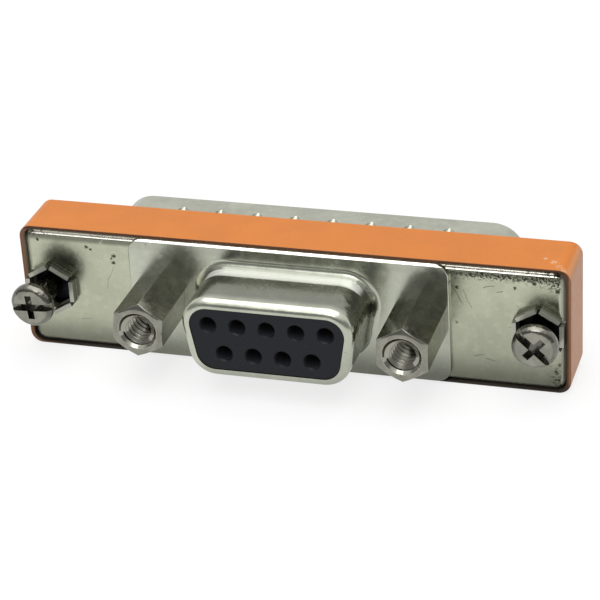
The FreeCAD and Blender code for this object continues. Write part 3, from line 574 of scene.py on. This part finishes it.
def grit_and_painted_light(finish, edge, edge_grit_and_shade):
    """Front marks: painted shade low down, black grit, a painted highlight on the upper edge, painted dark
    reflection and grit below it.
    """
    # Painted shade: darker towards the bottom, and in a patch low in the middle
    finish.darken(finish.along("Z", 0.6, 4.2, 1, 0), 0.40)
    finish.darken(finish.within(("Z", 3.0, 9.5, 1, 0), ("X", -4, 12)), 0.78)
    coarse = finish.noise(0.8 * MM, detail=3, rough=0.6)
    # A patchy dark band under the upper edge: painted dark reflection and grit
    finish.darken(finish.both(finish.along("Z", 11.05, 11.5), finish.ramp(coarse, 0.15, 0.45)), edge_grit_and_shade)
    # Painted highlight along the upper edge: full on the left, in patches further right
    edge_highlight_mask = finish.either(finish.along("X", 8, 17, 1, 0), finish.ramp(coarse, 0.32, 0.44))
    finish.layer(finish.both(finish.along("Z", edge, edge + 0.10), edge_highlight_mask), EDGE_HIGHLIGHT)
    crowd = finish.either(*(finish.within(*fades) for fades in CROWDS))
    grit = finish.noise(0.24 * MM, detail=3, rough=0.75)
    level = finish.compute("ADD", grit, finish.compute("MULTIPLY", crowd, 0.13))
    finish.layer(finish.both(finish.ramp(level, 0.60, 0.645), crowd, 0.95), GRIT)


def plate_marks(finish, face):
    """Painted dark reflections of the collars and standoffs, specks and scratches on one front face."""
    # Painted dark reflections of the collars and standoffs
    for x, z, radius, strength in DARK_REFLECTIONS:
        mark = finish.near((x, face, z), radius, radius * 0.2, ragged=1.2, size=0.6)
        finish.layer(finish.both(mark, strength), REFLECTION_DARK)
    for x, z, radius in SPECKS:
        mark = finish.near((x, face, z), radius, radius * 0.5, ragged=0.55, size=0.12)
        finish.layer(finish.both(mark, 0.92), SPECK)
    for x, z, length, slope, strength in SCRATCHES:
        line = finish.scratch((x, face, z), length, slope)
        finish.layer(finish.both(line, strength), SCRATCH)


def nickel(name, colour):
    """Dull nickel on turned steel: clouded, with small waves and brown spots."""
    finish = Finish(name, colour, metallic=1.0, roughness=0.16)
    cloud = finish.noise(1.2 * MM, detail=3, rough=0.6)
    finish.darken(finish.ramp(cloud, 0.35, 0.7, 1, 0), 0.75)
    spots = finish.ramp(finish.cells(0.8 * MM), 0.06, 0.13, 0.7, 0)
    gate = finish.ramp(finish.noise(1.5 * MM, detail=1), 0.55, 0.6)
    finish.layer(finish.both(spots, gate), SPOT)
    finish.dull(finish.ramp(finish.noise(0.5 * MM, detail=2), 0.3, 0.7, 0.12, 0.24))
    finish.bump(finish.noise(0.8 * MM, detail=2), 0.012 * MM, 0.6)
    return finish


def moulded(name, colour, roughness=0.42):
    """Dark moulded plastic: clouded, with fine grain and dust."""
    finish = Finish(name, colour, roughness=roughness)
    finish.surface.inputs["Specular IOR Level"].default_value = 0.25
    cloud = finish.noise(1.5 * MM, detail=3)
    finish.darken(finish.ramp(cloud, 0.3, 0.7, 1, 0), 0.75)
    dust = finish.ramp(finish.noise(0.10 * MM, detail=1), 0.68, 0.74, 0, 0.25)
    finish.layer(dust, DUST)
    finish.dull(finish.ramp(cloud, 0.3, 0.7, roughness - 0.06, roughness + 0.08))
    finish.bump(finish.noise(0.09 * MM, detail=2), 0.006 * MM, 0.5)
    return finish


def orange_wear_and_painted_light(colour):
    """Orange band plastic, mottled and scuffed; painted sheen on its right end, painted light and shade on rim and
    inner walls.
    """
    finish = Finish("orange_band", colour, roughness=0.38)
    finish.surface.inputs["Specular IOR Level"].default_value = 0.25
    cloud = finish.noise(6 * MM, detail=4, rough=0.6)
    fine = finish.noise(0.35 * MM, detail=3, rough=0.7)
    finish.darken(finish.ramp(cloud, 0.3, 0.7, 1, 0), 0.90)
    finish.layer(finish.ramp(fine, 0.4, 0.75, 0, 0.22), tint(colour, ORANGE_GRAIN, 0.3))
    spots = finish.ramp(finish.cells(2.2 * MM), 0.03, 0.06, 0.6, 0)
    gate = finish.ramp(finish.noise(4 * MM, detail=1), 0.58, 0.62)
    finish.layer(finish.both(spots, gate), ORANGE_SPOT)
    for x, y, radius in SCUFFS:
        scuff = finish.both(finish.near((x, y, BAND_TOP), radius), finish.ramp(fine, 0.42, 0.55), 0.8)
        finish.layer(scuff, ORANGE_SCUFF)
    # Painted sheen: a paler orange on faces that look right
    finish.layer(finish.both(finish.ramp(finish.facing("X"), 0.5, 0.8), 0.45), ORANGE_END_SHEEN)
    # Painted shade on the front rim, and painted light and shade on the inner walls
    rim = finish.along(*BAND_RIM)
    walls = finish.inward(BAND_MIDDLE)
    for place, shades in ((rim, RIM_PAINTED_SHADE), (walls, WALL_PAINTED_LIGHT_AND_SHADE)):
        for tone, *fades in shades:
            finish.layer(finish.both(place, *(finish.along(*fade) for fade in fades)), tone)
    finish.dull(finish.ramp(fine, 0.3, 0.7, 0.32, 0.46))
    finish.bump(finish.noise(0.25 * MM, detail=2), 0.008 * MM, 0.5)
    return finish


def gold(name, colour):
    """Thin gold flash on brass."""
    finish = Finish(name, colour, metallic=1.0, roughness=0.22)
    finish.darken(finish.ramp(finish.noise(0.6 * MM, detail=3), 0.35, 0.7, 1, 0), 0.8)
    finish.bump(finish.noise(0.2 * MM, detail=2), 0.003 * MM, 0.5)
    return finish


def board_green(colour):
    """Solder resist over a faint weave."""
    finish = Finish("circuit_board_green", colour, roughness=0.3)
    weave = finish.noise(0.25 * MM, detail=2, place=finish.stretched((0.3, 1, 1)))
    finish.darken(finish.ramp(weave, 0.35, 0.7, 1, 0), 0.7)
    finish.bump(weave, 0.01 * MM, 0.5)
    return finish


def centre(name):
    """The middle of a CAD node, in millimetres."""
    points = [vertex.co for vertex in frame["nodes"][name].data.vertices]
    return Vector([(min(p[i] for p in points) + max(p[i] for p in points)) / 2 / MM for i in range(3)])


def dress(material, *names):
    """Give CAD nodes one material."""
    for name in names:
        node = frame["nodes"][name]
        if not node.material_slots:
            node.data.materials.append(material)
        for slot in node.material_slots:
            slot.material = material


# Meshes


def turned(points, segments):
    """A closed solid turned about Z from (radius, height) points that start and end on the axis."""
    form = bmesh.new()
    corners = [form.verts.new((radius, 0, height)) for radius, height in points]
    edges = [form.edges.new(pair) for pair in zip(corners, corners[1:])]
    bmesh.ops.spin(form, geom=corners + edges, cent=(0, 0, 0), axis=(0, 0, 1), angle=math.tau,
                   steps=segments, use_merge=True, use_duplicate=False)
    bmesh.ops.remove_doubles(form, verts=form.verts, dist=1e-8)
    bmesh.ops.recalc_face_normals(form, faces=form.faces)
    return form


def helix(inner, outer, start, length, pitch):
    """A thread's ridge about Z: a V section with its flat side at one radius, its crest at another."""
    form = bmesh.new()
    half = pitch * FLANK
    crest = pitch * CREST
    section = [(inner, -half), (outer, -crest), (outer, crest), (inner, half)]
    corners = [form.verts.new((radius, 0, start + height)) for radius, height in section]
    face = form.faces.new(corners)
    turns = length / pitch
    steps = max(8, int(THREAD_SEGMENTS * turns))
    bmesh.ops.spin(form, geom=[face], cent=(0, 0, 0), axis=(0, 0, 1), angle=math.tau * turns,
                   steps=steps, dvec=(0, 0, length / steps), use_duplicate=False)
    bmesh.ops.holes_fill(form, edges=[edge for edge in form.edges if edge.is_boundary], sides=4)
    bmesh.ops.recalc_face_normals(form, faces=form.faces)
    return form


def arc(centre, radius, start, end, steps):
    """Points of a (radius, height) profile on an arc, angles in degrees."""
    angles = [math.radians(start + (end - start) * i / steps) for i in range(steps + 1)]
    return [(centre[0] + radius * math.cos(a), centre[1] + radius * math.sin(a)) for a in angles]


def bar(width, depth, length, turn):
    """A box across the axis, from a depth below the origin to well above it."""
    form = bmesh.new()
    bmesh.ops.create_cube(form, size=1)
    bmesh.ops.scale(form, vec=(length, width, depth * 2), verts=form.verts)
    bmesh.ops.rotate(form, cent=(0, 0, 0), matrix=Matrix.Rotation(turn, 3, "Z"), verts=form.verts)
    return form


def to_object(form, name="part"):
    """Turn a bmesh into an object in the scene."""
    mesh = bpy.data.meshes.new(name)
    form.to_mesh(mesh)
    form.free()
    result = bpy.data.objects.new(name, mesh)
    bpy.context.scene.collection.objects.link(result)
    return result


def combine(base, others, operation):
    """Cut or join solids exactly, and return the result as a bmesh."""
    target = to_object(base)
    tools = [to_object(other) for other in others]
    for tool in tools:
        step = target.modifiers.new("cut", "BOOLEAN")
        step.solver = "EXACT"
        step.operation = operation
        step.object = tool
    mesh = bpy.data.meshes.new_from_object(target.evaluated_get(bpy.context.evaluated_depsgraph_get()))
    form = bmesh.new()
    form.from_mesh(mesh)
    for temporary in (target, *tools):
        bpy.data.objects.remove(temporary)
    return form


def add_piece(name, form, place, body, material, edge):
    """Put a finished mesh in its place and tie it to its body."""
    bmesh.ops.transform(form, matrix=place, verts=form.verts)
    piece = to_object(form, name)
    piece.data.materials.append(material)
    piece.data.shade_smooth()
    piece.data.set_sharp_from_angle(angle=SMOOTH_ANGLE)
    if edge:
        bevel = piece.modifiers.new("edges", "BEVEL")
        bevel.width = edge
        bevel.segments = 2
        bevel.limit_method = "ANGLE"
        bevel.angle_limit = BEVEL_ANGLE
        bevel.harden_normals = True
    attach(piece, body)
    return piece


def reach(node, origin, axis):
    """How far a node reaches along an axis from a point: (lowest, highest, radius)."""
    offsets = [vertex.co - origin for vertex in frame["nodes"][node].data.vertices]
    spans = [offset.dot(axis) for offset in offsets]
    radii = [(offset - axis * span).length for offset, span in zip(offsets, spans)]
    return min(spans), max(spans), max(radii)


def axes(origin, outward, turn):
    """A matrix whose Z points outward and whose X is turned about it from the level line."""
    level = UP.cross(outward).normalized()
    upward = outward.cross(level)
    x_axis = level * math.cos(turn) + upward * math.sin(turn)
    y_axis = upward * math.cos(turn) - level * math.sin(turn)
    matrix = Matrix((x_axis, y_axis, outward)).transposed().to_4x4()
    matrix.translation = origin
    return matrix


# Operators: one for each piece or group of like pieces


class ADAPTER_OT_band(bpy.types.Operator):
    """Finish the orange band"""

    bl_idname = "adapter.band"
    bl_label = "Band"

    def execute(self, context):
        dress(orange_wear_and_painted_light(tuple(context.scene.adapter_colours.band)).material, "band")
        return {"FINISHED"}


class ADAPTER_OT_plates(bpy.types.Operator):
    """Finish the front plate"""

    bl_idname = "adapter.plates"
    bl_label = "Plates"

    def execute(self, context):
        finish = steel("plate_steel", tuple(context.scene.adapter_colours.plate))
        grit_and_painted_light(finish, edge=PLATE_EDGE, edge_grit_and_shade=0.42)
        finish.bump(finish.along(*PLATE_ROLL), -0.15 * MM, 1.0)
        plate_marks(finish, PLATE_FACE)
        raised = finish.along(*COLLAR_RISE)
        rims = finish.along(*COLLAR_RIM)
        # Painted light: a lighter colour on the plate's rolled right end and bottom edge
        lower = finish.either(finish.along(*PLATE_RIGHT_END), finish.along(*PLATE_BOTTOM))
        finish.layer(finish.both(lower, 0.8), ROLLED_EDGE_LIGHT)
        dull = finish.either(finish.along(*PLATE_LEFT_END), lower)
        for side, collar_shade in (("left", 0.33), ("right", 0.5)):
            x, z = spot(joint(f"lock_turn_{side}"))
            around = finish.round_axis(x, z, *COLLAR_OUTSIDE)
            inside = finish.round_axis(x, z, *COLLAR_OPENING)
            # Painted shade on the raised tabs, darkest at their foot, and a painted highlight on their rims
            finish.darken(finish.both(around, raised), collar_shade)
            finish.darken(finish.both(around, raised, finish.along(*COLLAR_FOOT)), 0.4)
            finish.layer(finish.both(around, rims), COLLAR_RIM_HIGHLIGHT)
            dull = finish.either(dull, finish.both(around, finish.either(raised, inside)))
        finish.tarnish(dull)
        dress(finish.material, "front_plate")
        return {"FINISHED"}


class ADAPTER_OT_shells(bpy.types.Operator):
    """Finish the drawn shells of the socket and the plug"""

    bl_idname = "adapter.shells"
    bl_label = "Shells"

    def execute(self, context):
        colour = tuple(context.scene.adapter_colours.shell)
        finish = steel("socket_shell_steel", colour, roughness=0.2, specks=0.5)
        grit_and_painted_light(finish, edge=FLANGE_EDGE, edge_grit_and_shade=0.9)
        tube = finish.within(TUBE_START, TUBE_END)
        # Painted shade: the tube darker than the flange, and darker again on its top
        finish.darken(tube, 0.66)
        finish.darken(finish.both(tube, finish.ramp(finish.facing("Z"), 0.3, 0.8)), 0.72)
        # Painted highlight on the tube's root where it faces up, made less metallic there
        root = finish.both(finish.within(ROOT_START, ROOT_END), finish.ramp(finish.facing("Z"), 0.55, 0.8))
        finish.layer(root, ROOT_HIGHLIGHT)
        hammered = finish.both(tube, finish.along(*TUBE_HAMMERED), finish.noise(0.7 * MM, detail=2))
        finish.bump(hammered, 0.10 * MM, 1.0)
        finish.tarnish(root)
        plate_marks(finish, FLANGE_FACE)
        finish.bump(finish.within(FLANGE_ROLL, FLANGE_SHEET), -0.2 * MM, 1.0)
        dress(finish.material, "socket_shell")
        rear = steel("pin_shell_steel", shade(colour, 0.86), roughness=0.3, specks=0.5)
        dress(rear.material, "pin_shell")
        return {"FINISHED"}


class ADAPTER_OT_insulators(bpy.types.Operator):
    """Finish the insulators of both connectors"""

    bl_idname = "adapter.insulators"
    bl_label = "Insulators"

    def execute(self, context):
        finish = moulded("insulator_plastic", tuple(context.scene.adapter_colours.insulator))
        # Painted shade: one flat colour on the insulators behind their front face, for the depths of the holes
        finish.layer(finish.along(*INSULATOR_INSIDE), INSIDE_SHADE)
        # Painted shade: a dark ring round each hole's mouth on the front face
        for name in CONTACTS:
            middle = centre(name)
            ring = finish.round_axis(middle.x, middle.z, *HOLE_RING)
            finish.layer(finish.both(ring, finish.along(*INSULATOR_FACE)), MOUTH_SHADE)
        dress(finish.material, "socket_insulator_front", "socket_insulator_back",
              "pin_insulator_outer", "pin_insulator_inner")
        return {"FINISHED"}


class ADAPTER_OT_contacts(bpy.types.Operator):
    """Finish the contacts and the pins"""

    bl_idname = "adapter.contacts"
    bl_label = "Contacts and pins"

    def execute(self, context):
        finish = gold("gold_flash", tuple(context.scene.adapter_colours.contact))
        dress(finish.material, *CONTACTS, *PINS)
        return {"FINISHED"}


class ADAPTER_OT_inside(bpy.types.Operator):
    """Finish the circuit board, the nuts and the captive washers"""

    bl_idname = "adapter.inside"
    bl_label = "Inner pieces"

    def execute(self, context):
        colours = context.scene.adapter_colours
        dress(board_green(tuple(colours.board)).material, "circuit_board")
        dress(nickel("nut_nickel", tuple(colours.nickel)).material, "jack_nut_left", "jack_nut_right")
        nylon = moulded("washer_nylon", tuple(colours.washer), roughness=0.35).material
        dress(nylon, "captive_washer_left", "captive_washer_right")
        return {"FINISHED"}


class ADAPTER_OT_standoffs(bpy.types.Operator):
    """Build the threaded hex standoffs"""

    bl_idname = "adapter.standoffs"
    bl_label = "Standoffs"

    def execute(self, context):
        sizes = context.scene.adapter_fasteners
        colour = tuple(context.scene.adapter_colours.nickel)
        finish = nickel("standoff_nickel", colour)
        for side in SIDES:
            hole = mount(f"jack_thread_{side}")
            # Painted light: a lighter nickel inside each tapped bore
            finish.layer(finish.round_axis(*spot(hole), *STANDOFF_BORE), shade(colour, 1.1))
            outward = Vector(hole["axis"])
            node = f"jack_standoff_{side}"
            low, high, _ = reach(node, Vector(hole["pos_m"]), outward)
            tip = Vector(hole["pos_m"]) + outward * high
            turn = sizes.hex_turn_left if side == "left" else sizes.hex_turn_right
            form = standoff(sizes, hole["dims"], high - low)
            piece = add_piece(f"standoff_{side}", form, axes(tip, outward, -turn), "adapter",
                              finish.material, sizes.edge)
            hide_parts(node)
        return {"FINISHED"}


def standoff(sizes, dims, length):
    """A hex body with bevelled corners, a stud and a tapped bore; its tip is at the origin."""
    crest = dims["r_mm"] * MM
    root = crest + sizes.tap_depth
    stud = mount("lock_thread_left")["dims"]["r_mm"] * MM
    corner = sizes.hex_flats / math.sqrt(3)
    hexagon = bmesh.new()
    bmesh.ops.create_circle(hexagon, cap_ends=True, segments=6, radius=corner)
    top = bmesh.ops.extrude_face_region(hexagon, geom=hexagon.faces[:])["geom"]
    bmesh.ops.translate(hexagon, vec=(0, 0, -sizes.hex_length),
                        verts=[part for part in top if isinstance(part, bmesh.types.BMVert)])
    bmesh.ops.recalc_face_normals(hexagon, faces=hexagon.faces)
    outside = corner * 1.1
    behind = -sizes.hex_length * 1.2
    drop = (outside - sizes.hex_face) * math.tan(sizes.hex_bevel)
    envelope = turned([(0, 0), (sizes.hex_face, 0), (outside, -drop), (outside, behind), (0, behind)],
                      sizes.segments)
    body = combine(hexagon, [envelope], "INTERSECT")
    cone = sizes.mouth_radius - root
    bottom = cone + dims["length_mm"] * MM
    bore = turned([(0, MM), (sizes.mouth_radius, MM), (sizes.mouth_radius, 0), (root, -cone),
                   (root, -bottom), (0, -bottom - root * DRILL_TIP)], sizes.segments)
    body = combine(body, [bore], "DIFFERENCE")
    sunk = -sizes.hex_length * 0.98
    rod = turned([(0, sunk), (stud, sunk), (stud, -length), (0, -length)], sizes.segments)
    ridge = helix(root + sizes.tap_depth * OVERLAP, crest, -bottom + sizes.thread_pitch,
                  bottom - cone * 0.8 - sizes.thread_pitch, sizes.thread_pitch)
    return gather(body, rod, ridge)


def gather(*forms):
    """Put several bmeshes into the first one."""
    first = forms[0]
    for other in forms[1:]:
        mesh = bpy.data.meshes.new("joined")
        other.to_mesh(mesh)
        other.free()
        first.from_mesh(mesh)
        bpy.data.meshes.remove(mesh)
    return first


class ADAPTER_OT_lock_screws(bpy.types.Operator):
    """Build the captive lock screws with their recesses and threads"""

    bl_idname = "adapter.lock_screws"
    bl_label = "Lock screws"

    def execute(self, context):
        sizes = context.scene.adapter_fasteners
        finish = nickel("screw_nickel", tuple(context.scene.adapter_colours.nickel))
        finish.bump(finish.noise(0.55 * MM, detail=2), 0.07 * MM, 1.0)
        material = finish.material
        for side in SIDES:
            turning = joint(f"lock_turn_{side}")
            pivot = Vector(turning["pos_m"])
            outward = Vector(turning["axis"])
            node = f"lock_screw_{side}"
            low, high, radius = reach(node, pivot, outward)
            front = pivot + outward * high
            # Painted shade: a darker ring at the head's rounded rim
            face = finish.near(front / MM, *HEAD_FACE)
            rim = finish.both(finish.near(front / MM, *HEAD_ALL), finish.compute("SUBTRACT", 1.0, face))
            finish.darken(rim, 0.65)
            # Painted shade in the slot and cross recess
            deep = finish.below(front, outward, *RECESS_DEPTH)
            finish.layer(finish.both(deep, finish.near(front / MM, *HEAD_RECESS)), RECESS_SHADE)
            turn = sizes.slot_turn_left if side == "left" else sizes.slot_turn_right
            form = lock_screw(sizes, mount(f"lock_thread_{side}")["dims"], radius, high - low)
            place = axes(front, outward, turn)
            piece = add_piece(f"screw_{side}", form, place, f"screw_{side}", material, sizes.edge)
            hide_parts(node)
        return {"FINISHED"}


def lock_screw(sizes, dims, radius, length):
    """A domed head with a slot and a cross, a grooved shank and a threaded end; front at the origin."""
    crest = dims["r_mm"] * MM
    root = crest - sizes.thread_depth
    dome, heel, height = sizes.head_dome, sizes.head_heel, sizes.head_height
    thread = dims["length_mm"] * MM + sizes.point
    groove = -sizes.groove_start
    groove_end = groove - sizes.groove_length
    profile = [(0, 0), (radius * 0.3, -HEAD_CROWN / 5)]
    profile += arc((radius - dome, -dome - HEAD_CROWN), dome, 88, 0, 10)
    profile += arc((radius - heel, -height + heel), heel, 0, -90, 4)
    profile += [
        (sizes.shank_radius, -height),
        (sizes.shank_radius, groove),
        (sizes.groove_radius, groove),
        (sizes.groove_radius, groove_end),
        (sizes.shank_radius, groove_end),
        (sizes.shank_radius, -length + thread),
        (root, -length + thread - 0.1 * MM),
        (root, -length + sizes.point * 0.8),
        (root - sizes.point * 0.6, -length),
        (0, -length),
    ]
    blank = turned(profile, sizes.segments)
    cuts = [
        bar(sizes.slot_width, sizes.slot_depth, radius * 2.4, 0),
        bar(sizes.cross_width, sizes.cross_depth, sizes.cross_length, 0),
        bar(sizes.cross_width, sizes.cross_depth, sizes.cross_length, math.pi / 2),
    ]
    head = combine(blank, cuts, "DIFFERENCE")
    ridge = helix(root - sizes.thread_depth * OVERLAP, crest, -length + sizes.point,
                  thread - sizes.point - sizes.thread_pitch / 2, sizes.thread_pitch)
    return gather(head, ridge)


class ADAPTER_OT_stage(bpy.types.Operator):
    """Set the table, the lights and the camera"""

    bl_idname = "adapter.stage"
    bl_label = "Stage"

    def execute(self, context):
        stage = context.scene.adapter_stage
        set_world(stage)
        add_floor()
        add_softbox("key", *KEY_BOX, stage.key)
        add_softbox("fill", *FILL_BOX, stage.fill)
        add_camera(stage)
        context.scene.view_settings.view_transform = "Standard"
        return {"FINISHED"}


def set_world(stage):
    """White for the camera; a dimmer front for reflections; a plain level of light on the part."""
    world = bpy.data.worlds.new("studio")
    nodes = Nodes(world)
    direction = nodes.parts(nodes.add("ShaderNodeTexCoord").outputs["Generated"])
    front = nodes.ramp(direction["Y"], *ROOM_FRONT, 1.0, 0.0)
    low = nodes.ramp(direction["Z"], *ROOM_LOW, 1.0, 0.0)
    dim = nodes.compute("MULTIPLY", nodes.compute("MULTIPLY", front, low), 1 - stage.front)
    seen = nodes.compute("SUBTRACT", 1.0, dim)
    camera = nodes.add("ShaderNodeLightPath").outputs["Is Camera Ray"]
    shown = nodes.compute("MAXIMUM", seen, camera)
    light = nodes.compute("MULTIPLY", nodes.compute("SUBTRACT", 1.0, nodes.showing()), stage.sky)
    strength = nodes.compute("ADD", nodes.compute("MULTIPLY", shown, nodes.showing()), light)
    background = nodes.add("ShaderNodeBackground")
    nodes.feed(background, Color=(1, 1, 1, 1), Strength=strength)
    output = nodes.add("ShaderNodeOutputWorld")
    nodes.feed(output, Surface=background.outputs[0])
    bpy.context.scene.world = world


def add_floor():
    """A pale table: lit like paper, and lifted to white where the camera or a reflection sees it."""
    form = bmesh.new()
    bmesh.ops.create_grid(form, x_segments=1, y_segments=1, size=TABLE_REACH)
    floor = to_object(form, "table")
    material = bpy.data.materials.new("table_white")
    nodes = Nodes(material)
    paper = nodes.feed(nodes.add("ShaderNodeBsdfDiffuse"), Color=(*TABLE_PAPER, 1))
    lift = nodes.compute("MULTIPLY", nodes.showing(), TABLE_LIFT)
    glow = nodes.feed(nodes.add("ShaderNodeEmission"), Strength=lift)
    total = nodes.feed(nodes.add("ShaderNodeAddShader"), _0=paper.outputs[0], _1=glow.outputs[0])
    nodes.feed(nodes.add("ShaderNodeOutputMaterial"), Surface=total.outputs[0])
    floor.data.materials.append(material)


def add_softbox(name, place, size, brightness):
    """A square area light that faces the part; a brightness of 1 shows as white."""
    lamp = bpy.data.lights.new(name, "AREA")
    lamp.shape = "SQUARE"
    lamp.size = size
    lamp.energy = brightness * math.pi * size * size
    holder = bpy.data.objects.new(name, lamp)
    bpy.context.scene.collection.objects.link(holder)
    holder.location = place
    holder.rotation_euler = Vector(place).to_track_quat("Z", "Y").to_euler()


def add_camera(stage):
    """The photograph's viewpoint."""
    lens = bpy.data.cameras.new("camera")
    lens.sensor_width = 36
    lens.lens = stage.lens
    lens.clip_start = 0.01
    camera = bpy.data.objects.new("camera", lens)
    bpy.context.scene.collection.objects.link(camera)
    back = Vector((
        math.sin(stage.azimuth) * math.cos(stage.elevation),
        -math.cos(stage.azimuth) * math.cos(stage.elevation),
        math.sin(stage.elevation),
    ))
    camera.matrix_world = axes(Vector(stage.aim) + back * stage.distance, back, stage.roll)
    bpy.context.scene.camera = camera


class ADAPTER_PT_panel(bpy.types.Panel):
    """The adapter's pieces and stage"""

    bl_idname = "ADAPTER_PT_panel"
    bl_label = "D-sub adapter"
    bl_space_type = "VIEW_3D"
    bl_region_type = "UI"
    bl_category = "Adapter"

    def draw(self, context):
        for operator in OPERATORS:
            self.layout.operator(operator.bl_idname)
        for group in ("adapter_colours", "adapter_fasteners", "adapter_stage"):
            settings = getattr(context.scene, group)
            box = self.layout.box()
            for name in settings.__annotations__:
                box.prop(settings, name)


OPERATORS = (
    ADAPTER_OT_band,
    ADAPTER_OT_plates,
    ADAPTER_OT_shells,
    ADAPTER_OT_insulators,
    ADAPTER_OT_contacts,
    ADAPTER_OT_inside,
    ADAPTER_OT_standoffs,
    ADAPTER_OT_lock_screws,
    ADAPTER_OT_stage,
)
GROUPS = (AdapterColours, AdapterFasteners, AdapterStage)


def register():
    for item in (*GROUPS, *OPERATORS, ADAPTER_PT_panel):
        bpy.utils.register_class(item)
    bpy.types.Scene.adapter_colours = PointerProperty(type=AdapterColours)
    bpy.types.Scene.adapter_fasteners = PointerProperty(type=AdapterFasteners)
    bpy.types.Scene.adapter_stage = PointerProperty(type=AdapterStage)


def unregister():
    del bpy.types.Scene.adapter_stage
    del bpy.types.Scene.adapter_fasteners
    del bpy.types.Scene.adapter_colours
    for item in reversed((*GROUPS, *OPERATORS, ADAPTER_PT_panel)):
        bpy.utils.unregister_class(item)


def main():
    """Register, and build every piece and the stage."""
    register()
    bpy.ops.adapter.band()
    bpy.ops.adapter.plates()
    bpy.ops.adapter.shells()
    bpy.ops.adapter.insulators()
    bpy.ops.adapter.contacts()
    bpy.ops.adapter.inside()
    bpy.ops.adapter.standoffs()
    bpy.ops.adapter.lock_screws()
    bpy.ops.adapter.stage()


if __name__ == "__main__":
    main()
